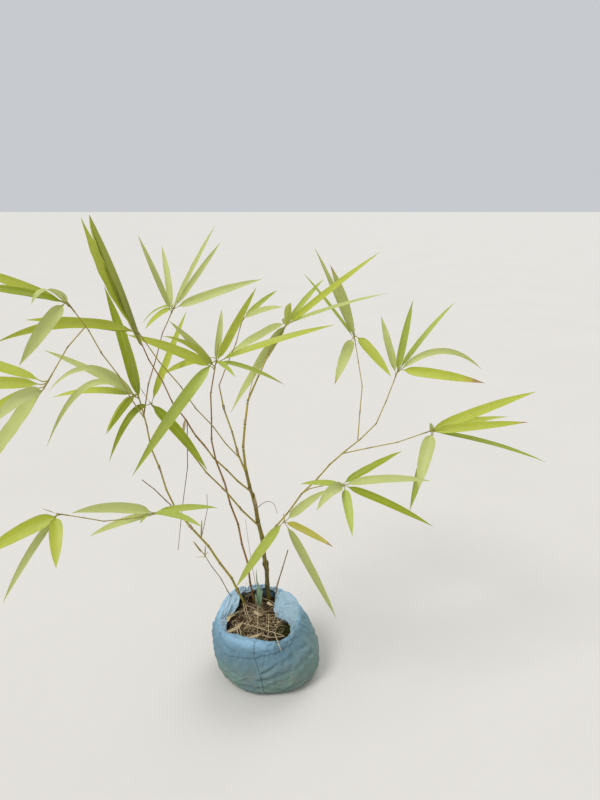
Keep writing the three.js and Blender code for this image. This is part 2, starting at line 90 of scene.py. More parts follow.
# Creases in the cloth: depth, width and the line's headings and heights, which go on over the rim as reach
CREASES = [
    (3.6, 4.5, [(-97, 47), (-74, 60), (-53, 66), (-41, 74), (-24, 76)]),
    (3.2, 4.0, [(-92, 66), (-76, 81), (-60, 88), (-44, 94), (-26, 95)]),
    (1.6, 3.0, [(-90, 101), (-92, 84), (-94, 66), (-95, 50)]),
    (3.0, 3.5, [(-168, 132), (-163, 118), (-143, 111), (-129, 103)]),
    (3.0, 4.0, [(158, 178), (168, 165), (180, 150), (181, 125), (179, 106)]),
    (2.4, 4.0, [(-20, 150), (-12, 134), (-8, 118), (-4, 104)]),
    (2.4, 4.0, [(40, 178), (26, 160), (14, 142), (10, 120)]),
    (2.0, 3.5, [(96, 176), (102, 160), (110, 142), (112, 126)]),
    (2.2, 4.0, [(128, 182), (122, 164), (116, 150), (112, 140)]),
    (2.2, 5.0, [(-150, 30), (-120, 22), (-96, 27), (-70, 20), (-44, 31), (-20, 22)]),
    (2.0, 4.5, [(-170, 92), (-152, 80), (-138, 61), (-122, 52)]),
    (1.8, 4.0, [(-6, 98), (4, 76), (18, 60), (34, 52)]),
    (2.2, 5.0, [(24, 30), (48, 24), (72, 32), (98, 26), (120, 34), (146, 26)]),
    (2.0, 4.5, [(52, 104), (64, 82), (82, 66), (104, 60)]),
    (2.0, 4.5, [(112, 112), (126, 92), (150, 78), (172, 72)]),
]
# Soft swells in the cloth: size, rise and shift of each layer of noise
SWELLS = [(46.0, 2.0, (0, 0, 0)), (17.0, 0.7, (9, 1, 4))]
# Folds: how their noise is stretched along each axis, its size, its seed, how sharp and how deep they are
SAGS = ((1, 1, 0.32), 30.0, 3.1, 3, 2.6)
GATHERS = ((0.8, 0.8, 2.4), 30.0, 8.4, 2, 1.5)
CRUMPLES = ((1, 1, 0.7), 29.0, 6.3, 2, 1.2)
FLAP_FOLDS = ((1, 1, 1), 24.0, 5.2, 3, 2.2)
CUFF_FOLDS = ((0.6, 0.6, 1.3), 22.0, 1.7, 3, 1.2)
# The height where the sags are deepest and how far they spread, and where the gathers begin and how softly
SAG_PLACE = (38, 34)
GATHER_PLACE = (92, 9)
# The bag's usual radius, by which the creases' headings are turned into lengths round it
BAG_RADIUS = 112.0
BAG_COLUMNS = 360
WALL_ROWS = 84
BAND_ROWS = 30
BAG_THICK = 0.7
# The flaps' hem, which turns back under them: reach inwards and drop
BAG_HEM = [(0.9, 0.9), (0.4, 2.2), (-3, 4), (-8, 7), (-10, 16)]
# How far round the bag its cloth measures, in metres
BAG_GIRTH = 0.72
BASE_RINGS = [0.9, 0.6, 0.3]
# The simulated cloth: steps of its coarse grid and of the filling's, frames, extra length, gap, most movement
SETTLE_EVERY = 3
FILLING_EVERY = 4
SETTLE_FRAMES = 16
SETTLE_GROWTH = 0.014
SETTLE_GAP = 3.0
SETTLE_MOST = 7.0
SETTLE_PULL = 12
SETTLE_SHEAR = 5
SETTLE_BENDING = 2.5
SETTLE_MASS = 0.2
SETTLE_QUALITY = 5
# The height from which it moves, and over how many rows the movement fades in and out
SETTLE_ABOVE = 8
SETTLE_FADES = (8, 12)
# How far the cloth keeps from its filling, in metres
SETTLE_SKIN = 0.001

# Soil: height and place of its crown, rings under its top, the front and back edge's mean height and tilt
SOIL_CROWN = (128, -24, 40)
SOIL_LEVELS = (6, 45, 80, 100)
SOIL_EDGE = (115, 11)
SOIL_COLUMNS = 128
SOIL_ROWS = 46
# How near the soil comes to the bag's wall, as a share of the way out
SOIL_FILL = 0.95
# The rough top: size, rise and shift of each layer of noise
CLODS = [(24, 4.0, (0, 0, 0)), (9, 2.2, (5, 5, 5)), (4, 1.1, (1, 7, 3))]
# Hollows in the soil: place, width and depth
HOLLOWS = [(60, -32, 20, 17), (-88, -40, 20, 16), (-30, 96, 30, 6)]
# Moss: place and width
MOSS_SPOT = (44, -18, 30)
# Straw: place and widths of its heap, of the bare patch in it, and of the upright tuft by the culms
LITTER_SPOT = (-26, -6, 62, 58)
BARE_SPOT = (58, -28, 24)
TUFT_SPOT = (-22, 40, 40, 34)
# Dry straws and strips of dead leaf: length, width, flatness, bend and twist
STRAWS = [
    (52, 1.6, 0.8, 2, 0.2), (34, 2.2, 0.25, -3, 1.2), (70, 1.3, 0.8, 5, 0.0), (24, 3.2, 0.14, 2, 0.9),
    (42, 1.0, 0.9, -3, 0.0), (60, 3.4, 0.12, 7, 2.2), (30, 0.8, 1.0, 4, 0.0),
]
# What is scattered: piece, shapes, number per square metre, seed, smallest, largest, tilt, lift, where, slot
SCATTERED = [
    ("straw_litter", "straws", 40000, 4, 0.3, 0.95, 0.3, 7, "litter", "dead_stem"),
    ("straw_upright", "straws", 9000, 12, 0.4, 0.95, 1.35, 9, "tuft", "dead_stem"),
    ("soil_crumbs", "clods", 60000, 8, 0.8, 2.6, 1.5, 1.2, "everywhere", "soil"),
    ("soil_moss", "tufts", 130000, 2, 0.5, 1.1, 0.4, 0.6, "moss", "leaf"),
]
# How many kinds of straws, clods and tufts there are each, and the faces of a tuft's leaflets
SHAPE_KINDS = 7
LEAFLET_FACES = [(0, 1, 3), (1, 2, 3), (2, 0, 3), (0, 2, 1)]

# Small stems and single leaves: sides of stems and of thin ones, points along each kind
STEM_SIDES = 16
THIN_SIDES = 8
FINE_POINTS = 14
TWIG_POINTS = 13
STRAW_POINTS = 12
# How much of their thickness fine stems and straws lose towards their tips
FINE_LOSS = 0.5
STRAW_LOSS = 0.45
# Fine dead stems between the culms: points and half thickness
FINE_STEMS = [
    ([(-24, 70, 120), (-33, 66, 200), (-44, 62, 300), (-50, 60, 372)], 0.7),
    ([(-60, 44, 118), (-52, 40, 150), (-44, 30, 176)], 0.9),
    ([(-44, 46, 118), (-56, 48, 160), (-52, 52, 200)], 0.7),
    ([(10, 66, 118), (22, 60, 150), (30, 48, 172)], 0.7),
    ([(-12, 40, 118), (-14, 38, 158), (-10, 34, 190)], 0.6),
    ([(-25, 70, 394), (-9, 64, 412), (6, 62, 419), (20, 60, 411), (27, 58, 387)], 0.9),
]
# Young side twigs on the left: points with half thickness
SIDE_TWIGS = [
    [(-160, 51, 287, 0.9), (-166, 50, 299, 1.7), (-173, 49, 312, 1.5), (-177, 48, 320, 0.3)],
    [(-152, 52, 272, 0.8), (-150, 51, 284, 1.5), (-149, 50, 298, 1.2), (-148, 50, 308, 0.3)],
    [(-152, 52, 272, 0.8), (-146, 47, 284, 0.6), (-142, 40, 294, 0.6), (-139, 32, 297, 0.5)],
    [(-152, 52, 272, 0.7), (-160, 50, 275, 0.5), (-167, 48, 275, 0.5), (-173, 47, 273, 0.2)],
    [(-151, 19, 345, 1.3), (-151, 21, 357, 1.8), (-150, 24, 372, 1.6), (-149, 27, 388, 0.8)],
]
# Long straws on the soil and one over the front lip: points and half thickness
LONG_STRAWS = [
    ([(-23, 26, 150), (-21, -13, 134), (-19, -62, 128)], 0.8),
    ([(5, 9, 141), (6, -25, 133), (6, -61, 128)], 0.8),
    ([(-54, -15, 131), (-24, -31, 134), (10, -45, 133), (43, -55, 129)], 1.1),
    ([(20, -45, 131), (29, -76, 131), (38, -101, 126)], 1.1),
    ([(-74, -18, 132), (-70, -32, 129), (-65, -47, 124)], 1.2),
    ([(-67, -19, 133), (-62, -36, 131), (-57, -53, 126)], 1.1),
    ([(-61, 43, 146), (-56, 26, 138), (-49, 8, 131)], 0.9),
    ([(-55, 41, 142), (-48, 16, 137), (-38, -9, 130)], 0.9),
    ([(21, -21, 130), (33, -11, 134), (46, 6, 130)], 1.0),
    ([(-8, -55, 130), (14, -64, 132), (45, -56, 128)], 0.9),
    ([(16, -13, 131), (22, 12, 138), (25, 35, 141)], 0.8),
    ([(-94, 8, 130), (-70, 24, 136), (-44, 28, 132)], 0.9),
    ([(-14, 82, 131), (10, 60, 137), (34, 30, 130)], 0.9),
    ([(-70, 62, 130), (-48, 44, 136), (-22, 34, 131)], 0.9),
]
# Dry leaves: stalk end, tip, width, arch, sideways bow; the last one hangs from the bare branch's tip
DRY_LEAVES = [
    ((-99, -38, 123), (-56, -4, 131), 7, 5, 12),
    ((-96, -9, 127), (-76, 16, 131), 8, 5, -6),
    ((0, 44, 148), (16, 31, 147), 7, 4, 5),
    ((-40, -60, 128), (-8, -48, 130), 6, 4, 6),
    ((-10, 12, 132), (-34, 30, 134), 7, 5, -7),
    ((30, 20, 130), (12, 48, 134), 6, 5, 6),
    ((-60, 84, 131), (-34, 92, 131), 6, 4, -5),
    ((-166, 1, 652), (-177, -5, 594), 6, 1, 3),
]
# The fresh shoot's pointed sheaths: foot, tip, width, bow
SHOOT_BLADES = [
    ((-22, 50, 132), (-22, 53, 200), 13, 1),
    ((-18, 52, 138), (-13, 50, 184), 9, 3),
    ((-26, 52, 134), (-31, 50, 170), 8, -3),
    ((-23, 57, 176), (-27, 60, 236), 4, -2),
]

# Leaves
BLADE_WIDTHS = [(0, 0.07), (0.03, 0.075), (0.05, 0.16), (0.1, 0.62), (0.17, 0.9), (0.28, 1), (0.45, 0.97),
                (0.62, 0.84), (0.76, 0.62), (0.87, 0.36), (0.95, 0.13), (1, 0.012)]
BLADE_ACROSS = 10
# The fold along the midrib, and the blade's thickness from the midrib to the margin
BLADE_FOLD = ((0, 0.12, 0.35, 0.7, 1), (0.75, 0.42, 0.25, 0.22, 0.4))
BLADE_THICK = ((0, 0.12, 1), (0.34, 0.2, 0.0))
BLADE_SWAY = 0.05
BLADE_TWIST = 0.9
# Where along a blade its rows lie: close together at the stalk and at the tip
BLADE_SHARES = np.concatenate([
    np.linspace(0, 0.12, 8), np.linspace(0.155, 0.92, 22), [0.95, 0.975, 0.99, 1.0],
])
# The young leaf that is still rolled up: widths, half turns each way, how far one edge lies inside, facing
ROLLED_WIDTHS = [(0, 0.17), (0.05, 0.3), (0.13, 0.46), (0.24, 0.64), (0.45, 0.82), (0.66, 0.86), (0.82, 0.7),
                 (0.93, 0.4), (1, 0.02)]
# How far down the stem the rolled leaf starts
ROLLED_FOOT = 20
ROLLED_TURNS = 1.06
ROLLED_STEP = 0.3
SPEAR_LIGHT = np.array([-0.39, -0.92, 0.1])
# How far some blades bow sideways, in millimetres, by spray and row
BLADE_BOWS = {("spear", 0): -6, ("spear", 1): 11}
# A bud that stays short inside the rolled leaf
BUD_SHARES = {"spear": 0.08}
# Blades that are broader than the spray's table says
BLADE_BREADTHS = {("spear", 1): 1.35}
# Blades turn their upper side to the light, each a little its own way
LIGHT_FROM = np.array([0.1, -0.78, 0.6])
FACE_SPREAD = 0.9
RIB_RISE = 0.45
STEM_BACK = 12
STEM_THICK = 2.6
LEAF_STEP = 2.25
ROOT_FIRST = 5
TWIG_LENGTH = 9
TWIG_VARIES = 0.3
TWIG_LEAN = 0.35
ROOT_SUNK = 2.5

# Each spray has its hub and its leaves: heading from +X, rise, length, width, arch, shade, and how much
# of the blade has dried from the tip
SPRAYS = {
    "spray_back_left": ((-206, 120, 862), [
        (-155, 70, 180, 13, 2, "pale", 0), (110, 55, 170, 15, 5, "pale", 0),
        (20, 60, 215, 13, 5, "pale", 0), (45, 45, 205, 13, 5, "pale", 0), (-5, 20, 220, 20, 4, "pale", 0),
        (-110, -10, 110, 14, 6, "bright", 0), (140, -20, 125, 14, 14, "green", 0),
        (102, -8, 180, 17, 10, "pale", 0),
    ]),
    "spray_centre": ((-89, -60, 782), [
        (-165, 25, 180, 20, 6, "bright", 0), (-125, 45, 160, 16, 4, "pale", 0),
        (-123, 33, 165, 12, 12, "bright", 0), (80, 60, 125, 13, 3, "pale", 0),
        (-20, 60, 190, 16, 3, "bright", 0), (0, 20, 255, 17, 6, "bright", 0),
        (25, -20, 160, 12, 8, "green", 0.1), (-55, 0, 85, 11, 4, "green", 0),
        (-145, -45, 265, 23, 12, "green", 0), (145, -15, 165, 14, 8, "bright", 0),
    ]),
    "spray_back_centre": ((46, 180, 816), [
        (-80, 40, 110, 22, 3, "bright", 0), (-18, 39, 285, 16, 4, "bright", 0),
        (40, 40, 160, 15, 4, "green", 0), (-28, 21, 270, 14, 6, "pale", 0),
        (65, 20, 120, 13, 6, "bright", 0), (-150, -20, 170, 24, 6, "pale", 0),
        (-160, -55, 245, 26, 12, "pale", 0), (92, -10, 190, 17, 10, "green", 0),
    ]),
    "spray_back_right": ((213, 200, 782), [
        (165, 50, 200, 12, 3, "green", 0), (-170, 65, 240, 15, 3, "pale", 0),
        (-140, 65, 200, 22, 4, "pale", 0.1), (-120, -40, 135, 26, 5, "pale", 0.08),
        (-40, -35, 130, 25, 5, "bright", 0), (86, -11, 180, 18, 10, "green", 0),
    ]),
    "spray_right_top": ((294, 60, 733), [
        (125, 65, 135, 18, 3, "pale", 0), (-35, 80, 170, 16, 3, "green", 0),
        (15, 50, 205, 12, 6, "green", 0), (-5, 5, 185, 14, 45, "pale", 0),
        (-20, 0, 190, 22, 4, "bright", 0.16), (80, -12, 180, 18, 10, "green", 0),
    ]),
    "spray_right": ((344, -60, 644), [
        (5, 20, 240, 21, 5, "bright", 0), (25, 0, 220, 16, 4, "bright", 0),
        (-10, 10, 200, 17, 4, "bright", 0.08), (0, -15, 265, 10, 11, "green", 0),
        (-109, -48, 127, 28, 5, "pale", 0), (-130, -72, 170, 24, 5, "green", 0.06),
        (75, -20, 150, 18, 8, "green", 0),
    ]),
    "spray_front_right": ((164, -140, 563), [
        (15, 25, 140, 17, 4, "deep", 0), (-5, 5, 175, 17, 11, "pale", 0), (-15, -20, 195, 15, 7, "deep", 0),
        (-80, -35, 110, 18, 4, "green", 0), (-120, -5, 105, 20, 12, "pale", 0),
        (145, -15, 105, 12, 4, "green", 0),
    ]),
    "spray_front": ((48, -110, 465), [
        (-170, -55, 185, 21, 4, "green", 0), (0, -65, 270, 19, 4, "pale", 0),
        (-40, -5, 130, 17, 6, "yellowed", 0.14), (40, 15, 125, 19, 5, "pale", 0),
    ]),
    "spray_low_left": ((-215, -130, 495), [
        (-157, 12, 160, 22, 10, "pale", 0), (170, -25, 168, 15, 8, "pale", 0),
        (-95, 15, 85, 12, 3, "green", 0), (0, 5, 130, 14, 5, "green", 0), (-35, 5, 135, 18, 11, "green", 0),
    ]),
    "spray_far_left": ((-332, -300, 587), [
        (-165, -25, 150, 26, 6, "bright", 0), (-170, -55, 205, 13, 10, "pale", 0),
        (-80, -40, 95, 22, 3, "bright", 0),
    ]),
    "spray_left_tall": ((-236, -92, 724), [
        (150, 73, 230, 22, 3, "deep", 0), (-80, 55, 195, 16, 4, "deep", 0),
        (180, 30, 205, 15, 6, "pale", 0), (-150, 15, 170, 13, 52, "pale", 0),
        (-170, -25, 205, 14, 74, "pale", 0), (160, -5, 220, 14, 12, "bright", 0),
        (160, -43, 125, 14, 10, "bright", 0.06), (-155, -41, 90, 12, 6, "deep", 0),
    ]),
    "spray_left": ((-222, -62, 706), [
        (41, 62, 205, 15, 4, "bright", 0), (-140, -45, 140, 14, 28, "deep", 0),
        (-30, -40, 180, 20, 5, "deep", 0),
    ]),
    "spray_near_left": ((-288, -380, 847), [
        (175, 15, 200, 18, 5, "bright", 0), (-170, 0, 185, 18, 6, "bright", 0),
        (170, -30, 225, 18, 8, "bright", 0), (-150, -50, 170, 24, 5, "pale", 0),
        (-95, -5, 150, 18, 10, "pale", 0),
    ]),
    "spray_near_top": ((-260, -330, 951), [
        (-105, 10, 85, 17, 22, "pale", 0), (180, 20, 190, 14, 5, "bright", 0),
        (-150, 15, 145, 13, 7, "deep", 0), (160, 5, 205, 15, 6, "deep", 0),
        (-130, -40, 115, 20, 4, "pale", 0),
    ]),
    "spray_upper_left": ((-202, -180, 878), [
        (-165, 10, 185, 17, 7, "bright", 0), (-160, 0, 230, 17, 22, "bright", 0),
    ]),
    "spear": ((-200, -200, 882), [
        (-125, 70, 210, 22, 3, "rolled", 0), (-110, 60, 225, 16, 4, "bright", 0),
    ]),
    "spray_thin": ((-40, 20, 861), [
        (40, 30, 110, 11, 4, "green", 0), (-35, 20, 115, 13, 6, "pale", 0),
    ]),
}

# Stems in growing order: name, foot in the soil or stem and place on it, end or spray, bow, thickness,
# length between joints, look
STEMS = [
    ("culm_main", (2, 79), None, (-46, 62, 503), (9, 0, 0), (10, 8.4), 48, "olive_culm"),
    ("culm_red", (-37, 79), None, (-111, 40, 534), (10, 0, 0), (5.4, 4.2), 62, "red_culm"),
    ("culm_left", (-56, 59), None, (-204, 10, 427), (20, -6, -6), (6.4, 4.8), 55, "yellow_branch"),
    ("arm_right", "culm_main", 1, "spray_back_centre", (-38, -20, 0), (6.4, 3), 56, "yellow_branch"),
    ("arm_left", "culm_main", 0.96, (-95, 30, 717), (-5, 0, 0), (5, 3), 60, "yellow_branch"),
    ("shoot_thin", "arm_left", 1, "spray_thin", (3, 0, 0), (2.2, 1.8), 50, "red_culm"),
    ("branch_upper_left", "arm_left", 0.2, "spray_upper_left", (0, 0, -8), (2.8, 2), 70, "yellow_branch"),
    ("branch_bare", "culm_main", 0.84, (-170, 0, 655), (-12, 8, -8), (4.6, 3), 46, "yellow_branch"),
    ("branch_spear", "branch_bare", 0.6, "spear", (-8, 0, -6), (3.2, 2.2), 72, "red_culm"),
    ("culm_red_top", "culm_red", 1, "spray_centre", (-10, -4, 0), (3.8, 2.6), 66, "red_culm"),
    ("branch_cross", "culm_main", 0.585, "spray_left", (-6, 0, -4), (4.8, 2.6), 68, "yellow_branch"),
    ("culm_left_upper", "culm_left", 1, "spray_left_tall", (-8, 0, 0), (4.2, 3), 64, "yellow_branch"),
    ("culm_left_top", "culm_left_upper", 0.9, "spray_back_left", (-6, 0, 8), (2.8, 2), 60, "red_culm"),
    ("twig_low_left", "culm_left", 0.96, "spray_low_left", (0, 0, 6), (3, 2.2), 50, "yellow_branch"),
    ("twig_far_left", "twig_low_left", 0.6, "spray_far_left", (0, -24, -4), (2.4, 1.8), 62, "yellow_branch"),
    ("culm_right", "culm_main", 0.44, (182, 20, 567), (0, 0, 16), (4.6, 3.4), 58, "yellow_branch"),
    ("culm_right_top", "culm_right", 1, "spray_right_top", (12, 0, -24), (3, 2.2), 55, "yellow_branch"),
    ("twig_back_right", "culm_right_top", 0.2, "spray_back_right", (12, 0, 6), (2.6, 2), 62, "yellow_branch"),
    ("twig_right", "culm_right", 0.97, "spray_right", (0, 0, -5), (2.8, 2), 60, "yellow_branch"),
    ("twig_front", "culm_right", 0.28, "spray_front", (0, 0, 10), (2.6, 2), 55, "yellow_branch"),
    ("twig_front_right", "culm_right", 0.5, "spray_front_right", (0, 0, 10), (2.6, 2), 60, "yellow_branch"),
    ("twig_near_top", "culm_left_upper", 0.86, "spray_near_top", (-4, 0, 12), (2.6, 1.8), 72,
     "yellow_branch"),
    ("twig_near_left", "twig_near_top", 0.84, "spray_near_left", (0, 0, 10), (2, 1.8), 50, "yellow_branch"),
    ("stub_left", "culm_left", 0.98, (-281, 30, 491), (0, 0, 3), (3, 2.4), 32, "dead_stem"),
    ("twig_bare_low", "culm_left", 0.74, (-136, 40, 450), (5, 0, 0), (1.8, 1.2), 40, "dead_stem"),
    ("twig_bare_high", "arm_right", 0.5, (-17, 120, 742), (0, 0, 0), (1.8, 1.2), 45, "yellow_branch"),
    ("twig_dead", "branch_bare", 0.94, (-201, -10, 332), (6, 0, 0), (2.2, 1.4), 90, "dead_stem"),
    ("twig_rim_left", (-80, 60), None, (-173, 50, 313), (0, 0, 8), (2.6, 1.6), 45, "dead_stem"),
    ("stub_dead_right", (17, 72), None, (51, 84, 272), (-4, 0, 0), (4, 2.6), 45, "dead_stem"),
    ("shoot_fresh", (-22, 54), None, (-23, 58, 178), (1, 0, 0), (6.4, 3), 22, "fresh_shoot"),
]
ZIGZAG = 0.03
# A culm that thins above one joint: shares of its length and of its thickness there
TAPERS = {"culm_main": ((0, 0.73, 0.77, 1), (1.12, 1.1, 0.87, 0.9))}
# Under the soil a rooted stem flares: distance from its foot and thickness
ROOT_FLARE = [(-16.0, 1.25), (-3.0, 1.12)]
# Round each joint: distance along the stem and thickness, both as shares of the stem's half thickness
JOINT_SHAPE = [(-1.7, 1.0), (-0.5, 1.05), (-0.14, 1.2), (0.22, 1.04), (0.7, 1.17), (1.7, 1.0)]
# How thick a stem has to be for sheaths and buds, and at how many of its joints a sheath is left
SHEATHED_FROM = 2.5
SHEATH_SHARE = 0.45
# A sheath's thickness in millimetres, and its points round the stem and up it
SHEATH_THICK = 0.16
SHEATH_GRID = (11, 7)
# A distance to the nearest joint, in millimetres, that shows none
NO_JOINT = 30.0

# Studio: floor's half width in metres, lamps with place, power and spread, sky, and the photograph's camera
FLOOR_REACH = 60.0
LAMPS = [("key", (-1.6, -1.1, 2.6), 1.75, 22), ("back", (0.9, 2.2, 2.2), 0.8, 40)]
SKY = (0.92, 0.95, 1.0, 1)
SKY_STRENGTH = 0.62
CAMERA_PLACE = (0.081, -1.22, 1.10)
CAMERA_DOWN = 18.4
# The lens's length in pixels of a picture 800 high, on a sensor 36 mm high
LENS_PIXELS = 601
PICTURE_HEIGHT = 800
SENSOR_HEIGHT = 36


def smooth_curve(keys, places):
    """Values at places on a smooth curve through (place, value, ...) keys."""
    table = np.array(keys, float)
    spots, values = table[:, 0], table[:, 1:]
    slopes = np.gradient(values, spots, axis=0)
    index = np.clip(np.searchsorted(spots, places, side="right") - 1, 0, len(spots) - 2)
    step = (spots[index + 1] - spots[index])[:, None]
    share = ((places - spots[index]) / step[:, 0])[:, None].clip(0, 1)
    low, high = values[index], values[index + 1]
    ease = share * share * (3 - 2 * share)
    bend = share * (1 - share)
    lift = bend * ((1 - share) * slopes[index] - share * slopes[index + 1]) * step
    return low + (high - low) * ease + lift


def lengths_along(points):
    """How far along a line each of its points lies."""
    steps = np.linalg.norm(np.diff(points, axis=0), axis=1)
    return np.concatenate([[0], np.cumsum(steps)])


def through(points, count):
    """Points at even places on a smooth curve through a few points."""
    keys = [(i, *point) for i, point in enumerate(points)]
    return smooth_curve(keys, np.linspace(0, len(points) - 1, count))


def unit(vector):
    """A vector brought to a length of one."""
    return vector / np.linalg.norm(vector)


def turned(vector, axis, angle):
    """A vector turned about a unit axis."""
    c, s = math.cos(angle), math.sin(angle)
    return vector * c + np.cross(axis, vector) * s + axis * np.dot(axis, vector) * (1 - c)


def heading_vector(turn, rise):
    """A unit vector from its heading from +X and its rise in degrees."""
    turn, rise = math.radians(turn), math.radians(rise)
    return np.array([math.cos(rise) * math.cos(turn), math.cos(rise) * math.sin(turn), math.sin(rise)])


def seeded(seed):
    """Repeatable random numbers from 0 to 1, the same as the part's source draws."""
    whole = 0xFFFFFFFF
    state = seed

    def draw():
        nonlocal state
        state = (state + 0x6D2B79F5) & whole
        mixed = ((state ^ (state >> 15)) * (1 | state)) & whole
        mixed = ((mixed + ((mixed ^ (mixed >> 7)) * (61 | mixed))) & whole) ^ mixed
        return ((mixed ^ (mixed >> 14)) & whole) / 4294967296

    return draw


# Shader and geometry graphs
class Graph:
    """Adds nodes to one tree and joins them."""

    def __init__(self, tree):
        self.tree = tree

    def node(self, kind, inputs=None, **settings):
        made = self.tree.nodes.new(kind)
        for key, value in settings.items():
            setattr(made, key, value)
        for key, value in (inputs or {}).items():
            if isinstance(value, bpy.types.NodeSocket):
                self.tree.links.new(value, made.inputs[key])
            else:
                made.inputs[key].default_value = value
        return made

    def math(self, operation, *values, clamp=False):
        made = self.node("ShaderNodeMath", dict(enumerate(values)), operation=operation, use_clamp=clamp)
        return made.outputs[0]

    def times(self, value, share):
        return self.math("MULTIPLY", value, share)

    def vector(self, *parts):
        return self.node("ShaderNodeCombineXYZ", dict(enumerate(parts))).outputs[0]

    def parts(self, vector):
        return self.node("ShaderNodeSeparateXYZ", {0: vector}).outputs

    def end(self, output, put):
        self.tree.links.new(output, put)
        return self.tree

    def mix(self, share, low, high, blend="MIX"):
        made = self.node("ShaderNodeMix", {0: share, 6: low, 7: high}, data_type="RGBA", blend_type=blend)
        return made.outputs[2]

    def band(self, value, low, high, start=0.0, end=1.0):
        """A smooth step of value from low to high."""
        inputs = {"Value": value, "From Min": low, "From Max": high, "To Min": start, "To Max": end}
        return self.node("ShaderNodeMapRange", inputs, interpolation_type="SMOOTHSTEP").outputs[0]

    def noise(self, vector, scale, detail=3.0, roughness=0.55):
        inputs = {"Vector": vector, "Scale": scale, "Detail": detail, "Roughness": roughness}
        return self.node("ShaderNodeTexNoise", inputs).outputs[0]

    def stretch(self, vector, scale):
        return self.node("ShaderNodeVectorMath", {0: vector, 1: scale}, operation="MULTIPLY").outputs[0]

    def geometry(self, kind, inputs, **settings):
        return self.node("GeometryNode" + kind, inputs, **settings).outputs[0]

    def named(self, name):
        """A number that the mesh carries under a name."""
        return self.geometry("InputNamedAttribute", {"Name": name}, data_type="FLOAT")

    def store(self, geometry, name, value, kind="FLOAT", domain="POINT"):
        inputs = {0: geometry, "Name": name, "Value": value}
        return self.geometry("StoreNamedAttribute", inputs, data_type=kind, domain=domain)

    def chance(self, kind, low, high, seed):
        """A random value of its own for each point."""
        first, found = {"FLOAT_VECTOR": (0, 0), "FLOAT": (2, 1), "INT": (4, 2)}[kind]
        inputs = {first: low, first + 1: high, "Seed": seed}
        return self.node("FunctionNodeRandomValue", inputs, data_type=kind).outputs[found]


def shader_group(name, inputs, outputs):
    """An empty group of shader nodes: its graph, what it is given and what it puts out."""
    group = bpy.data.node_groups.new(name, "ShaderNodeTree")
    for label, kind, value in inputs:
        socket = group.interface.new_socket(name=label, in_out="INPUT", socket_type="NodeSocket" + kind)
        if value is not None:
            socket.default_value = value
    for label, kind in outputs:
        group.interface.new_socket(name=label, in_out="OUTPUT", socket_type="NodeSocket" + kind)
    graph = Graph(group)
    return graph, graph.node("NodeGroupInput").outputs, graph.node("NodeGroupOutput").inputs


def patch_group():
    """Soft patches, for fading, damp and dirt."""
    graph, given, put = shader_group(
        "patches",
        [("Vector", "Vector", None), ("Size", "Float", 0.03), ("Cover", "Float", 0.5),
         ("Softness", "Float", 0.15)],
        [("Mask", "Float")])
    scale = graph.math("DIVIDE", 1.0, given["Size"])
    value = graph.noise(given["Vector"], scale, 5.0, 0.62)
    level = graph.math("SUBTRACT", 1.0, given["Cover"])
    low = graph.math("SUBTRACT", level, given["Softness"])
    high = graph.math("ADD", level, given["Softness"])
    return graph.end(graph.band(value, low, high), put["Mask"])


def streak_group():
    """Fine fibres that run along the third axis of a coordinate."""
    graph, given, put = shader_group(
        "fibres",
        [("Vector", "Vector", None), ("Across", "Float", 0.001), ("Along", "Float", 0.03)],
        [("Mask", "Float")])
    across = graph.math("DIVIDE", 1.0, given["Across"])
    along = graph.math("DIVIDE", 1.0, given["Along"])
    scale = graph.vector(across, across, along)
    value = graph.noise(graph.stretch(given["Vector"], scale), 1.0, 3.0, 0.6)
    return graph.end(graph.band(value, 0.32, 0.68), put["Mask"])


def weave_group():
    """Flat tapes woven over and under each other: height, and a value of its own for each tape."""
    graph, given, put = shader_group(
        "woven_tapes",
        [("Vector", "Vector", None), ("Tape", "Float", 0.002)],
        [("Height", "Float"), ("Tone", "Float")])
    split = graph.parts(given["Vector"])
    warp = graph.math("DIVIDE", split[0], given["Tape"])
    weft = graph.math("DIVIDE", split[1], given["Tape"])
    cells = graph.math("ADD", graph.math("FLOOR", warp), graph.math("FLOOR", weft))
    over = graph.math("FLOORED_MODULO", cells, 2.0)
    heights, tones = [], []
    for here, other, shift in ((warp, weft, 0.0), (weft, warp, 57.0)):
        middle = graph.math("SUBTRACT", graph.math("FRACT", here), 0.5)
        tape = graph.band(graph.math("ABSOLUTE", middle), 0.5, 0.36)
        crown = graph.math("SINE", graph.times(graph.math("FRACT", other), math.pi))
        heights.append(graph.times(tape, graph.math("MULTIPLY_ADD", crown, 0.6, 0.4)))
        label = graph.math("ADD", graph.math("FLOOR", here), shift)
        own = graph.node("ShaderNodeTexWhiteNoise", {"W": label}, noise_dimensions="1D")
        tones.append(own.outputs["Value"])
    for (low, high), name in ((heights, "Height"), (tones, "Tone")):
        made = graph.node("ShaderNodeMix", {0: over, 2: low, 3: high}, data_type="FLOAT").outputs[0]
        graph.end(made, put[name])
    return graph.tree


def vein_group():
    """Reads a leaf's own map, where X runs from the stalk to the tip and is over 1 on the underside."""
    graph, given, put = shader_group(
        "leaf_veins",
        [("Vector", "Vector", None), ("Veins", "Float", 15.0)],
        [(name, "Float") for name in ("Along", "Edge", "Midrib", "Veins", "Under")])
    split = graph.parts(given["Vector"])
    edge = graph.times(graph.math("ABSOLUTE", graph.math("SUBTRACT", split[1], 0.5)), 2.0)
    wave = graph.math("COSINE", graph.times(graph.times(edge, given["Veins"]), math.pi))
    results = {
        "Along": graph.math("FRACT", split[0]),
        "Edge": edge,
        "Midrib": graph.band(edge, 0.1, 0.03),
        "Veins": graph.math("MULTIPLY_ADD", wave, 0.5, 0.5),
        "Under": graph.math("GREATER_THAN", split[0], 1.0),
    }
    for name, value in results.items():
        graph.end(value, put[name])
    return graph.tree


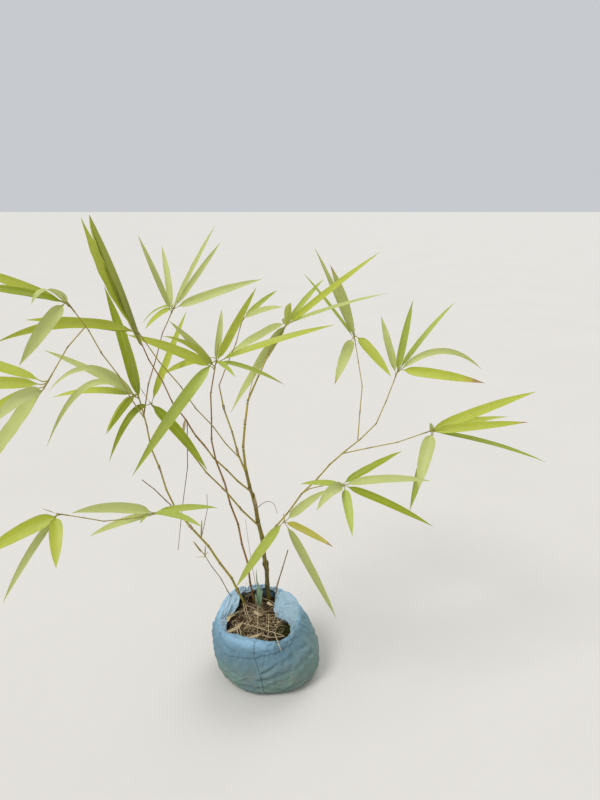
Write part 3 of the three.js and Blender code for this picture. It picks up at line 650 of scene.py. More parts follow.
PATCHES = patch_group()
FIBRES = streak_group()
WEAVE = weave_group()
VEINS = vein_group()


def shade(text):
    """The linear colour of a six-digit shade."""
    parts = [int(text[i:i + 2], 16) / 255 for i in (0, 2, 4)]
    return tuple(p / 12.92 if p <= 0.04045 else ((p + 0.055) / 1.055) ** 2.4 for p in parts) + (1.0,)


class Finish(Graph):
    """One material with its Principled shader."""

    def __init__(self, name):
        self.material = bpy.data.materials.new(name)
        self.material.use_nodes = True
        super().__init__(self.material.node_tree)
        self.tree.nodes.clear()
        self.output = self.node("ShaderNodeOutputMaterial")
        self.shader = self.node("ShaderNodeBsdfPrincipled")
        self.tree.links.new(self.shader.outputs[0], self.output.inputs["Surface"])

    def coordinate(self, kind="Object"):
        return self.node("ShaderNodeTexCoord").outputs[kind]

    def attribute(self, name):
        return self.node("ShaderNodeAttribute", attribute_name=name)

    def group(self, group, inputs):
        return self.node("ShaderNodeGroup", inputs, node_tree=group).outputs

    def tint(self, colour, mask, share, tone):
        """Brings a colour nearer to another shade where a mask is high."""
        return self.mix(self.times(mask, share), colour, shade(tone))

    def patches(self, vector, size, cover, softness=0.15):
        given = {"Vector": vector, "Size": size, "Cover": cover, "Softness": softness}
        return self.group(PATCHES, given)["Mask"]

    def fibres(self, vector, across, along):
        return self.group(FIBRES, {"Vector": vector, "Across": across, "Along": along})["Mask"]

    def bump(self, height, depth, strength=1.0):
        inputs = {"Height": height, "Distance": depth, "Strength": strength}
        return self.node("ShaderNodeBump", inputs).outputs[0]

    def surface(self, colour, roughness, normal=None, specular=0.5):
        feeds = {
            "Base Color": colour, "Roughness": roughness, "Normal": normal, "Specular IOR Level": specular,
        }
        for key, value in feeds.items():
            if isinstance(value, bpy.types.NodeSocket):
                self.tree.links.new(value, self.shader.inputs[key])
            elif value is not None:
                self.shader.inputs[key].default_value = value
        return self.material


def leaf_finish(name, blade, under, glow, margin=(0.86, 0.35), fresh=None):
    """A living blade: fine veins, a pale midrib, a duller underside, a painted highlight along its margins
    and a tip that may be dry, or lighter with its fresh colour and painted light.
    """
    highlight_from, highlight_share = margin
    finish = Finish(name)
    place = finish.coordinate()
    veins = finish.group(VEINS, {"Vector": finish.coordinate("UV"), "Veins": 15.0})
    tone = finish.attribute("tone").outputs["Fac"]
    dry = finish.attribute("dry").outputs["Fac"]
    colour = finish.mix(finish.times(tone, 0.75), shade(blade), shade(glow))
    colour = finish.tint(colour, finish.patches(place, 0.03, 0.5, 0.25), 0.3, glow)
    colour = finish.tint(colour, veins["Veins"], 0.1, under)
    colour = finish.tint(colour, veins["Under"], 0.75, under)
    colour = finish.tint(colour, veins["Midrib"], 0.5, "d3d98a")
    # Painted highlight: the blade is lightened towards its margins
    colour = finish.tint(colour, finish.band(veins["Edge"], highlight_from, 1.0), highlight_share, "cbcf6a")
    # The fresh colour and painted light together lighten the blade from near the stalk towards the tip
    if fresh:
        colour = finish.tint(colour, finish.band(veins["Along"], 0.15, 0.8), 0.8, fresh)
    ragged = finish.math("MULTIPLY_ADD", finish.noise(place, 160.0), 0.08, veins["Along"])
    start = finish.math("SUBTRACT", 1.04, dry)
    withered = finish.band(ragged, start, finish.math("ADD", start, 0.035))
    yellowing = finish.band(ragged, finish.math("SUBTRACT", start, dry), start)
    yellowing = finish.times(yellowing, finish.band(dry, 0.0, 0.04))
    colour = finish.tint(colour, yellowing, 0.7, "cfc25a")
    colour = finish.mix(withered, colour, shade("b99a6a"))
    height = finish.math("MULTIPLY_ADD", veins["Veins"], 0.35, veins["Midrib"])
    rough = finish.math("MULTIPLY_ADD", veins["Under"], 0.14, 0.4)
    finish.surface(colour, rough, finish.bump(height, 0.00025, 0.6), specular=0.4)
    through = finish.node("ShaderNodeBsdfTranslucent", {"Color": finish.mix(0.55, colour, shade(glow))})
    both = finish.node("ShaderNodeMixShader", {0: 0.36, 1: finish.shader.outputs[0], 2: through.outputs[0]})
    finish.tree.links.new(both.outputs[0], finish.output.inputs["Surface"])
    return finish.material


def culm_finish(name, light, dark, ring, bloom, grime=0.0):
    """Jointed cane: lengthwise streaks, dark rings at the joints with a pale bloom under them, grimy feet."""
    finish = Finish(name)
    place = finish.coordinate()
    bark = finish.attribute("bark").outputs["Vector"]
    joint = finish.attribute("joint").outputs["Fac"]
    streaks = finish.fibres(bark, 0.0011, 0.03)
    blotches = finish.patches(place, 0.014, 0.45, 0.12)
    colour = finish.mix(streaks, shade(light), shade(dark))
    colour = finish.tint(colour, blotches, 0.45, dark)
    pale = finish.times(finish.band(joint, -9.0, -1.5), finish.band(joint, 0.2, -0.6))
    colour = finish.mix(finish.times(pale, bloom), colour, shade("c9c6a2"))
    away = finish.math("ABSOLUTE", joint)
    colour = finish.tint(colour, finish.band(away, 2.2, 0.5), 0.85, ring)
    if grime:
        height = finish.parts(place)[2]
        low = finish.times(finish.band(height, 0.34, 0.13), grime)
        spots = finish.times(finish.patches(place, 0.007, 0.55, 0.1), low)
        colour = finish.mix(spots, colour, shade("3c3220"))
    rough = finish.math("MULTIPLY_ADD", streaks, 0.2, 0.42)
    relief = finish.math("ADD", finish.times(streaks, 0.5), finish.noise(bark, 900.0))
    return finish.surface(colour, rough, finish.bump(relief, 0.0003, 0.7), specular=0.4)


def dry_finish(name, light, dark, across=0.0006, along=0.012):
    """Dry straw, sheaths and dead leaves: papery, with long fibres."""
    finish = Finish(name)
    place = finish.coordinate("UV")
    object_place = finish.coordinate()
    spread = finish.parts(place)
    turned_map = finish.vector(spread[1], 0.0, spread[0])
    streaks = finish.fibres(turned_map, across, along)
    spots = finish.patches(object_place, 0.008, 0.4, 0.14)
    tone = finish.attribute("tone").outputs["Fac"]
    colour = finish.mix(streaks, shade(light), shade(dark))
    colour = finish.tint(colour, spots, 0.6, dark)
    colour = finish.tint(colour, finish.band(tone, 0.5, 1.0), 0.8, "6c5638")
    return finish.surface(colour, 0.82, finish.bump(streaks, 0.0003, 0.8), specular=0.2)


def bag_finish(name, faded_and_lit, body, shadow, rough):
    """Woven cloth: flat tapes, lighter on the folds at the top where it is sun-faded and painted light falls,
    with painted shade towards the ground, dusty and greenish near the ground; the tapes' crowns carry a
    painted highlight and the gaps between them painted shade.
    """
    finish = Finish(name)
    place = finish.coordinate()
    weave = finish.group(WEAVE, {"Vector": finish.coordinate("UV"), "Tape": 0.002})
    height = finish.parts(place)[2]
    drift = finish.math("MULTIPLY_ADD", finish.math("SUBTRACT", finish.noise(place, 14.0), 0.5), 0.06, height)
    upper = finish.band(drift, 0.105, 0.15)
    lower = finish.band(drift, 0.105, 0.035)
    # Lighter high up: the cloth's fading and painted light together
    colour = finish.mix(upper, shade(body), shade(faded_and_lit))
    # Painted shade: darker towards the ground
    colour = finish.tint(colour, lower, 0.75, shadow)
    east = finish.parts(place)[0]
    weathered = finish.math("MULTIPLY_ADD", finish.band(east, 0.0, 0.12), 0.55, lower, clamp=True)
    green = finish.times(finish.patches(place, 0.06, 0.58, 0.2), weathered)
    colour = finish.tint(colour, green, 0.7, "6f8a74")
    dust = finish.times(finish.patches(place, 0.022, 0.42, 0.14), finish.band(drift, 0.12, 0.02))
    colour = finish.tint(colour, dust, 0.55, "8c8270")
    tapes = finish.math("MULTIPLY_ADD", weave["Tone"], 0.1, -0.03)
    # Each tape's own tone, plus a painted highlight on its raised crown
    tone_and_crown_highlight = finish.math("MULTIPLY_ADD", weave["Height"], 0.1, tapes, clamp=True)
    colour = finish.mix(tone_and_crown_highlight, colour, shade("a9c6d6"))
    # Painted shade in the gaps between the tapes
    gap_shade = finish.band(weave["Height"], 0.28, 0.05)
    colour = finish.tint(colour, gap_shade, 0.09, "2c4858")
    grain = finish.noise(place, 700.0)
    relief = finish.math("MULTIPLY_ADD", grain, 0.25, weave["Height"])
    shine = finish.math("MULTIPLY_ADD", weave["Height"], -0.12, rough)
    return finish.surface(colour, shine, finish.bump(relief, 0.0003, 0.6), specular=0.35)


def soil_finish():
    """Damp dark potting soil with lighter crumbs."""
    finish = Finish("damp_soil")
    place = finish.coordinate()
    colour = finish.mix(finish.patches(place, 0.012, 0.5, 0.2), shade("2c2118"), shade("4a3a28"))
    crumbs = finish.patches(place, 0.0035, 0.35, 0.05)
    colour = finish.tint(colour, crumbs, 0.8, "6e5a40")
    mossy = finish.attribute("moss").outputs["Fac"]
    colour = finish.tint(colour, mossy, 0.8, "39451c")
    relief = finish.math("ADD", finish.noise(place, 260.0, 6.0, 0.7), finish.noise(place, 900.0, 3.0))
    return finish.surface(colour, 0.92, finish.bump(relief, 0.0016, 1.0), specular=0.2)


def patchy_finish(name, dark, light, patch, grain, bump, rough, specular=0.2):
    """A dull finish with soft patches: their size and softness, the grain's scale and detail, its bump."""
    finish = Finish(name)
    place = finish.coordinate()
    size, softness = patch
    colour = finish.mix(finish.patches(place, size, 0.5, softness), shade(dark), shade(light))
    relief = finish.bump(finish.noise(place, *grain), *bump)
    return finish.surface(colour, rough, relief, specular=specular)


def shoot_finish():
    """A young shoot in its waxy blue-green sheath."""
    finish = Finish("waxy_shoot")
    place = finish.coordinate()
    bark = finish.attribute("bark").outputs["Vector"]
    joint = finish.attribute("joint").outputs["Fac"]
    streaks = finish.fibres(bark, 0.0007, 0.02)
    colour = finish.mix(streaks, shade("a9c4ae"), shade("7ea288"))
    colour = finish.tint(colour, finish.patches(place, 0.008, 0.4, 0.15), 0.5, "c3d2b4")
    edge = finish.band(finish.math("ABSOLUTE", joint), 1.5, 0.3)
    colour = finish.tint(colour, edge, 0.6, "6f6a48")
    return finish.surface(colour, 0.6, finish.bump(streaks, 0.0003, 0.6), specular=0.35)


# The bright, green, deep and pale shades are partly the leaves' own colours and partly painted light and
# shade: leaves that catch more light were given the lighter ones
LEAF_SHADES = {
    "bright": leaf_finish("leaf_bright", "bec83a", "c4ca70", "e0e66c"),
    "green": leaf_finish("leaf_green", "b4c44e", "bec87e", "d6de70"),
    "deep": leaf_finish("leaf_deep", "96a816", "a8b04c", "c2ca3c"),
    "pale": leaf_finish("leaf_pale", "c8d07e", "d0d69e", "e2e6a0"),
    "yellowed": leaf_finish("leaf_yellowed", "bcb63e", "c4be6c", "d4cc60"),
    # The rolled leaf has a broad painted highlight from halfway out to its edges, and its fresh colour with
    # painted light over its upper part
    "rolled": leaf_finish("leaf_rolled", "848e22", "a2aa56", "a8b03a", (0.45, 0.8), "d0d85e"),
}
SHADE_ORDER = list(LEAF_SHADES)
STEM_FINISHES = {
    "olive_culm": culm_finish("culm_olive", "9a8a30", "6a5c22", "40351a", 0.2, 0.7),
    "red_culm": culm_finish("culm_red", "ac823e", "86602c", "50381a", 0.2),
    "yellow_branch": culm_finish("branch_yellow", "bcae4a", "9c8a3a", "64522a", 0.25),
    "dead_stem": culm_finish("stem_dead", "9c8c70", "6f604a", "574a38", 0.1),
    "fresh_shoot": shoot_finish(),
}
TWIG_FINISH = culm_finish("twig_green", "b0a848", "978a3c", "7c6c34", 0.2)
SHEATH = dry_finish("papery_sheath", "cdb98e", "9c8458")
STRAW = dry_finish("dry_straw", "d8c6a0", "ab936c")
DRY_LEAF = dry_finish("dry_leaf", "dccaa2", "b09a70", 0.02, 0.6)
STRAW_STEM = culm_finish("straw_stem", "dccba6", "b49a72", "8c744e", 0.2)
SHOOT_BLADE = leaf_finish("shoot_blade", "8fb09a", "a6c2b0", "b4cda6")
THREAD = dry_finish("seam_thread", "a9c3cf", "7f9dac", 0.0003, 0.002)
BAG_CLOTH = bag_finish("bag_cloth", "93bdd6", "5d808f", "556a69", 0.62)
BAG_INNER = bag_finish("bag_inner", "a6c2d2", "869ca8", "66808a", 0.7)
SOIL = soil_finish()
CRUMBS = patchy_finish("soil_crumbs", "33271b", "66523a", (0.006, 0.1), (900.0, 4.0), (0.0006, 1.0), 0.95)
MOSS = patchy_finish("soil_moss", "3b4d18", "6f8230", (0.004, 0.2), (1200.0,), (0.0005, 0.8), 0.9)
FLOOR = patchy_finish("pale_floor", "d1cdc6", "d4d0c9", (0.8, 0.3), (60.0,), (0.0002, 0.05), 0.9, 0.5)


# Meshes
def place_in_scene(name, data):
    """An object of some data, linked into the scene."""
    made = bpy.data.objects.new(name, data)
    bpy.context.scene.collection.objects.link(made)
    return made


def sheet_faces(rows, columns, closed=False):
    """Faces of a grid of points held row by row."""
    wide = columns if closed else columns - 1
    return [
        (r * columns + c, r * columns + (c + 1) % columns,
         (r + 1) * columns + (c + 1) % columns, (r + 1) * columns + c)
        for r in range(rows - 1) for c in range(wide)
    ]


def end_caps(rows, loop):
    """The two faces that close a tube of rows of points."""
    return [tuple(range(loop - 1, -1, -1)), tuple((rows - 1) * loop + i for i in range(loop))]


class Pile:
    """Collects points, faces, corner maps and point values for one joined mesh."""

    def __init__(self):
        self.points, self.faces, self.maps, self.slots = [], [], [], []
        self.values = {}
        self.count = 0

    def add(self, points, faces, corner_map, slot=0, **values):
        points = np.asarray(points, float)
        self.faces.extend(tuple(i + self.count for i in face) for face in faces)
        self.maps.append(np.asarray(corner_map, float).reshape(-1, 2))
        self.slots.extend([slot] * len(faces))
        self.points.append(points)
        for key, value in values.items():
            self.values.setdefault(key, []).append(np.broadcast_to(value, len(points)))
        self.count += len(points)

    def piece(self, name, materials):
        margin = self.values.pop("margin", None)
        mesh = bpy.data.meshes.new(name)
        mesh.from_pydata((np.concatenate(self.points) * MM).tolist(), [], self.faces)
        layer = mesh.uv_layers.new(name="surface")
        layer.uv.foreach_set("vector", np.concatenate(self.maps).ravel())
        for material in materials:
            mesh.materials.append(material)
        mesh.polygons.foreach_set("material_index", self.slots)
        for key, parts in self.values.items():
            mesh.attributes.new(key, "FLOAT", "POINT").data.foreach_set("value", np.concatenate(parts))
        if margin:
            ends = np.empty(len(mesh.edges) * 2, int)
            mesh.edges.foreach_get("vertices", ends)
            sharp = (np.concatenate(margin) > 0)[ends].reshape(-1, 2).all(1)
            mesh.attributes.new("sharp_edge", "BOOLEAN", "EDGE").data.foreach_set("value", sharp)
        return stand(name, mesh)


def stand(name, mesh):
    """An object of a finished mesh, shaded smooth, with its faces pointing out."""
    work = bmesh.new()
    work.from_mesh(mesh)
    bmesh.ops.recalc_face_normals(work, faces=work.faces)
    work.to_mesh(mesh)
    work.free()
    mesh.polygons.foreach_set("use_smooth", [True] * len(mesh.polygons))
    mesh.update()
    return place_in_scene(name, mesh)


def ride_as(piece, slot, *nodes):
    """Says where a piece belongs, and which solids it stands for."""
    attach(piece, BODY)
    if nodes:
        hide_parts(*nodes)


# Stems
def stem_points(start, end, bow, joint):
    """The joints of a stem along its bowed line, stepping from side to side."""
    chord = end - start
    count = max(int(math.floor(np.linalg.norm(chord) / joint + 0.5)), 1)
    sideways = unit(np.cross(chord, (0, 1, 0)))
    points = []
    for index in range(count + 1):
        share = index / count
        step = 0 if index in (0, count) else ZIGZAG * joint * (1 if index % 2 else -1)
        points.append(start + chord * share + bow * math.sin(math.pi * share) + sideways * step)
    return points


def place_along(points, share):
    """The point at a share of a stem's joints."""
    place = share * (len(points) - 1)
    index = min(int(place), len(points) - 2)
    return points[index] + (points[index + 1] - points[index]) * (place - index)


def grow_stems():
    """Every stem's joints, by the source's rule."""
    grown = {}
    for name, start_on, at, end, bow, thick, joint, look in STEMS:
        if at is None:
            start = np.array([*start_on, SOIL_CROWN[0]], float)
        else:
            start = place_along(grown[start_on]["points"], at)
        spray = end if isinstance(end, str) else None
        finish = np.array(SPRAYS[spray][0] if spray else end, float)
        points = stem_points(start, finish, np.array(bow, float), joint)
        heading = unit(points[-1] - points[-2])
        carried = points[-1] - heading * STEM_BACK
        if spray:
            points[-1] = carried
        grown[name] = {
            "points": points, "heading": heading, "carried": carried, "thick": thick,
            "look": look, "spray": spray, "rooted": at is None, "taper": TAPERS.get(name, ((0, 1), (1, 1))),
        }
    return grown


def jointed_line(stem):
    """Points along a stem with their half thickness and distance to the nearest joint, in millimetres."""
    points, thick = stem["points"], stem["thick"]
    lengths = lengths_along(np.array(points))
    line = []

    def put(place, swell, joint):
        index = int(np.clip(np.searchsorted(lengths, place, side="right") - 1, 0, len(points) - 2))
        share = (place - lengths[index]) / (lengths[index + 1] - lengths[index])
        point = points[index] + (points[index + 1] - points[index]) * share
        far = place / lengths[-1]
        radius = np.interp(far, (0, 1), thick) / 2 * np.interp(far, *stem["taper"])
        line.append((point, radius * swell, joint))

    if stem["rooted"]:
        for place, swell in ROOT_FLARE:
            put(place, swell, NO_JOINT)
    put(0.0, 1.1 if stem["rooted"] else 1.3, NO_JOINT)
    put(thick[0] * 1.2, 1.0, NO_JOINT)
    for index in range(1, len(points) - 1):
        radius = np.interp(lengths[index] / lengths[-1], (0, 1), thick) / 2
        middle = (lengths[index - 1] + lengths[index]) / 2
        put(max(middle, thick[0] * 1.6), 0.96, NO_JOINT)
        for offset, swell in JOINT_SHAPE:
            put(lengths[index] + offset * radius, swell, offset * radius)
    put((lengths[-2] + lengths[-1]) / 2, 0.96, NO_JOINT)
    put(lengths[-1], 1.0, NO_JOINT)
    if not stem["spray"]:
        put(lengths[-1] + thick[1] * 0.3, 0.7, NO_JOINT)
        put(lengths[-1] + thick[1] * 0.4, 0.25, NO_JOINT)
    return line


def geometry_tree(name, inputs):
    """A tree for a mesh and some named values: its graph and what it is given."""
    tree = bpy.data.node_groups.new(name, "GeometryNodeTree")
    for label, kind in {"Geometry": "Geometry", **inputs, "Finish": "Material"}.items():
        tree.interface.new_socket(name=label, in_out="INPUT", socket_type="NodeSocket" + kind)
    tree.interface.new_socket(name="Geometry", in_out="OUTPUT", socket_type="NodeSocketGeometry")
    graph = Graph(tree)
    return graph, graph.node("NodeGroupInput").outputs


def grown_tree(graph, skin, finish):
    """Ends a tree with plain geometry that wears its finish."""
    skin = graph.geometry("RealizeInstances", {"Geometry": skin})
    skin = graph.geometry("SetMaterial", {"Geometry": skin, "Material": finish})
    return graph.end(skin, graph.node("NodeGroupOutput").inputs["Geometry"])


def limb_tree():
    """Skins a polyline with round limbs of its own thickness, with a coordinate that follows the bark."""
    graph, given = geometry_tree("limbs", {"Sides": "Int"})
    line = graph.geometry("MeshToCurve", {"Mesh": given["Geometry"]})
    spline = graph.node("GeometryNodeSplineParameter").outputs
    line = graph.store(line, "along", spline["Length"])
    ring = graph.geometry("CurvePrimitiveCircle", {"Resolution": given["Sides"], "Radius": 1.0})
    ring = graph.store(ring, "around", spline["Factor"])
    half = graph.named("half")
    inputs = {"Curve": line, "Profile Curve": ring, "Scale": half, "Fill Caps": True}
    skin = graph.geometry("CurveToMesh", inputs)
    turn = graph.times(graph.named("around"), 2 * math.pi)
    across = [graph.times(graph.math(side, turn), half) for side in ("COSINE", "SINE")]
    bark = graph.vector(*across, graph.named("along"))
    skin = graph.store(skin, "bark", bark, "FLOAT_VECTOR")
    return grown_tree(graph, skin, given["Finish"])


def grown_piece(name, start, tree, values):
    """Runs a tree on a mesh and keeps what it makes as a plain mesh."""
    holder = place_in_scene(name, start)
    modifier = holder.modifiers.new("grow", "NODES")
    modifier.node_group = tree
    for item in tree.interface.items_tree:
        if item.in_out == "INPUT" and item.name in values:
            modifier[item.identifier] = values[item.name]
    bpy.context.view_layer.update()
    evaluated = holder.evaluated_get(bpy.context.evaluated_depsgraph_get())
    mesh = bpy.data.meshes.new_from_object(evaluated)
    bpy.data.objects.remove(holder)
    return stand(name, mesh)


def line_mesh(name, lines):
    """A mesh of edges along lines of points in millimetres."""
    points, edges = [], []
    for line in lines:
        first = len(points)
        points.extend((np.array(point) * MM).tolist() for point in line)
        edges.extend((first + i, first + i + 1) for i in range(len(line) - 1))
    made = bpy.data.meshes.new(name + "_lines")
    made.from_pydata(points, edges, [])
    return made


def limbs(name, lines, sides, finish):
    """A joined piece of round limbs along lines of (point, half thickness, distance to a joint)."""
    start = line_mesh(name, [[point for point, _, _ in line] for line in lines])
    values = {"half": [half * MM for line in lines for _, half, _ in line],
              "joint": [joint for line in lines for _, _, joint in line]}
    for key, numbers in values.items():
        start.attributes.new(key, "FLOAT", "POINT").data.foreach_set("value", numbers)
    return grown_piece(name, start, LIMBS, {"Sides": sides, "Finish": finish})


# Leaves
def blade_rows(base, tip, width, arch, facing, bow, random, rolled=False):
    """A blade's section points, row by row from its stalk to its tip, as a closed thin loop."""
    chord = tip - base
    length = np.linalg.norm(chord)
    up = np.array([0.0, 0.0, 1.0])
    side = unit(np.cross(chord, up))
    sway = (random() - 0.5) * BLADE_SWAY * length if bow is None else bow
    ripple, phase = 2 + 3 * random(), random() * 7
    twist = 0 if rolled else (random() - 0.5) * BLADE_TWIST
    wave = (0.25 + 0.5 * random()) * (width / 18)

    def middle(share):
        bend = 4 * share * (1 - share)
        return base + chord * share + up * arch * bend + side * sway * math.sin(math.pi * share)

    spread = smooth_curve(ROLLED_WIDTHS if rolled else BLADE_WIDTHS, BLADE_SHARES)[:, 0] * width / 2
    spread = np.maximum(spread, 0.12)
    v = np.linspace(-1, 1, BLADE_ACROSS + 1)
    rows = []
    for share, half in zip(BLADE_SHARES, spread):
        direction = unit(middle(share + 0.01) - middle(share - 0.01))
        level = unit(np.cross(direction, facing))
        across = turned(level, direction, twist * (share - 0.35))
        normal = np.cross(across, direction)
        if rolled:
            wrap = math.pi * ROLLED_TURNS * min(1.0, share / 0.06 + 0.3)
            radius = 1 - ROLLED_STEP * (v + 1) / 2
            out = radius * np.sin(v * wrap)
            lift = 1 - radius * np.cos(v * wrap)
        else:
            fold = np.interp(share, *BLADE_FOLD)
            out = v
            lift = fold * np.abs(v) - 0.16 * fold * np.sin(math.pi * np.abs(v))
        lean = v * wrap if rolled else 0 * v
        flutter = wave * np.sin(ripple * math.tau * share + phase + 0.9 * v)
        flutter = flutter * np.abs(v) ** 2.5 * math.sin(math.pi * share)
        rise = half * lift + flutter
        thick = np.interp(np.abs(v), *BLADE_THICK) * min(1.0, half / 2 + 0.35)
        rib = np.where(np.abs(v) < 0.05, RIB_RISE * (1 - share) * min(1.0, half / 3 + 0.3), 0.0)
        core = middle(share) + out[:, None] * half * across + rise[:, None] * normal
        upward = np.cos(lean)[:, None] * normal - np.sin(lean)[:, None] * across
        top = core + thick[:, None] * upward * 0.5
        bottom = (core - (thick * 0.5 + rib)[:, None] * upward)[-2:0:-1]
        rows.append(np.concatenate([top, bottom]))
    return np.array(rows), v


def blade_map(v):
    """Corner maps of a blade's faces: X from stalk to tip, one more on the underside, and Y across."""
    across = np.concatenate([v, v[-2:0:-1], v[:1]]) / 2 + 0.5
    loop = 2 * BLADE_ACROSS
    under = (np.arange(loop) >= BLADE_ACROSS).astype(float)
    along = BLADE_SHARES.clip(0.002, 0.998)
    corners = []
    for row in range(len(along) - 1):
        for c in range(loop):
            low, high = along[row] + under[c], along[row + 1] + under[c]
            near, past = across[c], across[c + 1]
            corners.extend([(low, near), (low, past), (high, past), (high, near)])
    return np.array(corners)


def add_blade(pile, rows, v, slot, **values):
    """One blade joined to a pile, closed at both ends."""
    count, loop = rows.shape[:2]
    faces = sheet_faces(count, loop, closed=True) + end_caps(count, loop)
    cap_map = np.concatenate([np.tile([0.002, 0.5], (loop, 1)), np.tile([0.998, 0.5], (loop, 1))])
    corner_map = np.concatenate([blade_map(v), cap_map])
    margin = np.tile(np.isin(np.arange(loop), (0, BLADE_ACROSS)), count)
    pile.add(rows.reshape(-1, 3), faces, corner_map, slot, margin=margin, **values)


def grow_spray(order, stem, twigs):
    """The blades of one spray, by the source's rule, with the stalks that they stand on."""
    hub, leaves = SPRAYS[stem["spray"]]
    hub = np.array(hub, float)
    random, looks = seeded(order + 1), seeded(1000 + order)
    heading, carried = stem["heading"], stem["carried"]
    reach = STEM_BACK + LEAF_STEP * len(leaves)
    pile = Pile()
    axis = [(carried - heading * 4, STEM_THICK / 2, NO_JOINT)]
    for index, (turn, rise, length, width, arch, look, dry) in enumerate(leaves):
        share = (index + 1) / len(leaves)
        along = ROOT_FIRST + (reach - 1 - ROOT_FIRST) * share
        root = carried + heading * along
        outward = heading_vector(turn, rise)
        lean = unit(outward + (heading - outward) * TWIG_LEAN)
        twig = TWIG_LENGTH * (1 - TWIG_VARIES + 2 * TWIG_VARIES * random())
        base = root + lean * (twig - ROOT_SUNK)
        tip = hub + outward * length
        # The source draws each blade's roll here, so this draw keeps both in step
        random()
        facing = SPEAR_LIGHT
        if look != "rolled":
            facing = LIGHT_FROM + FACE_SPREAD * (np.array([looks() for _ in "xyz"]) - 0.5)
        bow = BLADE_BOWS.get((stem["spray"], index))
        width *= BLADE_BREADTHS.get((stem["spray"], index), 1)
        if look == "rolled":
            base = carried - heading * ROLLED_FOOT
        rows, v = blade_rows(base, tip, width, arch, facing, bow, looks, look == "rolled")
        low, high = 0.45 * looks(), 0.2 + 0.8 * looks()
        tone = np.repeat(low + (high - low) * BLADE_SHARES ** 1.5, 2 * BLADE_ACROSS)
        add_blade(pile, rows, v, SHADE_ORDER.index(look), tone=tone, dry=dry)
        thin = STEM_THICK / 2 * (1 - 0.45 * share)
        axis += [
            (root - heading * 1.6, thin, -1.6), (root, thin * 1.25, 0.0), (root + heading * 1.2, thin, 1.2),
        ]
        stalk = base + (tip - base) * 0.05 + np.array([0, 0, 4 * arch * 0.05 * 0.95])
        twigs.append([
            (root - lean * 0.5, 1.15, 0.0), (root + lean * twig * 0.4, 1.0, 4.0),
            (base - lean * 0.6, 0.85, 6.0), (base, 0.98, 0.2), (base + lean * 0.8, 0.7, 8.0),
            (stalk, 0.55, 12.0),
        ])
    bud = (20 + 25 * looks()) * BUD_SHARES.get(stem["spray"], 1)
    spike = carried + heading * (reach + bud) + np.array([0, 0, 6 * looks()])
    end = carried + heading * reach
    axis += [(end, 0.7, 9.0), (end + (spike - end) * 0.5, 0.75, 20.0), (spike, 0.12, NO_JOINT)]
    twigs.append(axis)
    return pile.piece("leaves_" + stem["spray"].replace("spray_", ""), list(LEAF_SHADES.values()))


# Scattered litter
def scatter_tree():
    """Puts random copies of small shapes on a surface, more where its weight is high."""
    graph, given = geometry_tree("scatter", {
        "Shapes": "Collection", "Density": "Float", "Seed": "Int", "Smallest": "Float", "Largest": "Float",
        "Tilt": "Float", "Lift": "Float", "Weight": "String"})
    density = graph.times(given["Density"], graph.named(given["Weight"]))
    inputs = {"Mesh": given["Geometry"], "Density": density, "Seed": given["Seed"]}
    spots = graph.geometry("DistributePointsOnFaces", inputs)
    lift = graph.vector(0.0, 0.0, graph.chance("FLOAT", 0.0, given["Lift"], 5))
    spots = graph.geometry("SetPosition", {"Geometry": spots, "Offset": lift})
    back = graph.times(given["Tilt"], -1.0)
    low = graph.vector(back, back, 0.0)
    high = graph.vector(given["Tilt"], given["Tilt"], math.tau)
    turn = graph.chance("FLOAT_VECTOR", low, high, 3)
    inputs = {"Collection": given["Shapes"], "Separate Children": True, "Reset Children": True}
    inputs = {
        "Points": spots,
        "Instance": graph.geometry("CollectionInfo", inputs),
        "Pick Instance": True,
        "Instance Index": graph.chance("INT", 0, SHAPE_KINDS, 11),
        "Rotation": graph.node("FunctionNodeEulerToRotation", {0: turn}).outputs[0],
        "Scale": graph.chance("FLOAT", given["Smallest"], given["Largest"], 7),
    }
    copies = graph.geometry("InstanceOnPoints", inputs)
    copies = graph.store(copies, "tone", graph.chance("FLOAT", 0.0, 1.0, 17), domain="INSTANCE")
    return grown_tree(graph, copies, given["Finish"])


def stitch_tree():
    """Puts short threads one behind the other along each line."""
    graph, given = geometry_tree("stitches", {"Spacing": "Float", "Length": "Float", "Thickness": "Float"})
    line = graph.geometry("MeshToCurve", {"Mesh": given["Geometry"]})
    inputs = {"Curve": line, "Length": given["Spacing"]}
    spots = graph.node("GeometryNodeCurveToPoints", inputs, mode="LENGTH").outputs
    turn = graph.node("FunctionNodeAlignRotationToVector", {"Vector": spots["Tangent"]}, axis="Z")
    inputs = {
        "Points": spots["Points"],
        "Instance": graph.geometry("MeshUVSphere", {"Segments": 6, "Rings": 5, "Radius": 1.0}),
        "Rotation": turn.outputs[0],
        "Scale": graph.vector(given["Thickness"], given["Thickness"], graph.times(given["Length"], 0.5)),
    }
    return grown_tree(graph, graph.geometry("InstanceOnPoints", inputs), given["Finish"])


LIMBS = limb_tree()
SCATTER = scatter_tree()
STITCHES = stitch_tree()


# Bag
def rim_offset(angle):
    """How far the rim lies above or below its mean height."""
    return RIM_TILT * np.sin(angle) + RIM_WAVE * np.sin(3 * angle + 0.8)


def oval(angle, centre_x, centre_y, half_x, half_y, square, inset=0.0):
    """Points of a superellipse at angles."""
    c, s = np.cos(angle), np.sin(angle)
    power = 2 / square
    x = centre_x + (half_x - inset) * np.sign(c) * np.abs(c) ** power
    y = centre_y + (half_y - inset) * np.sign(s) * np.abs(s) ** power
    return x, y


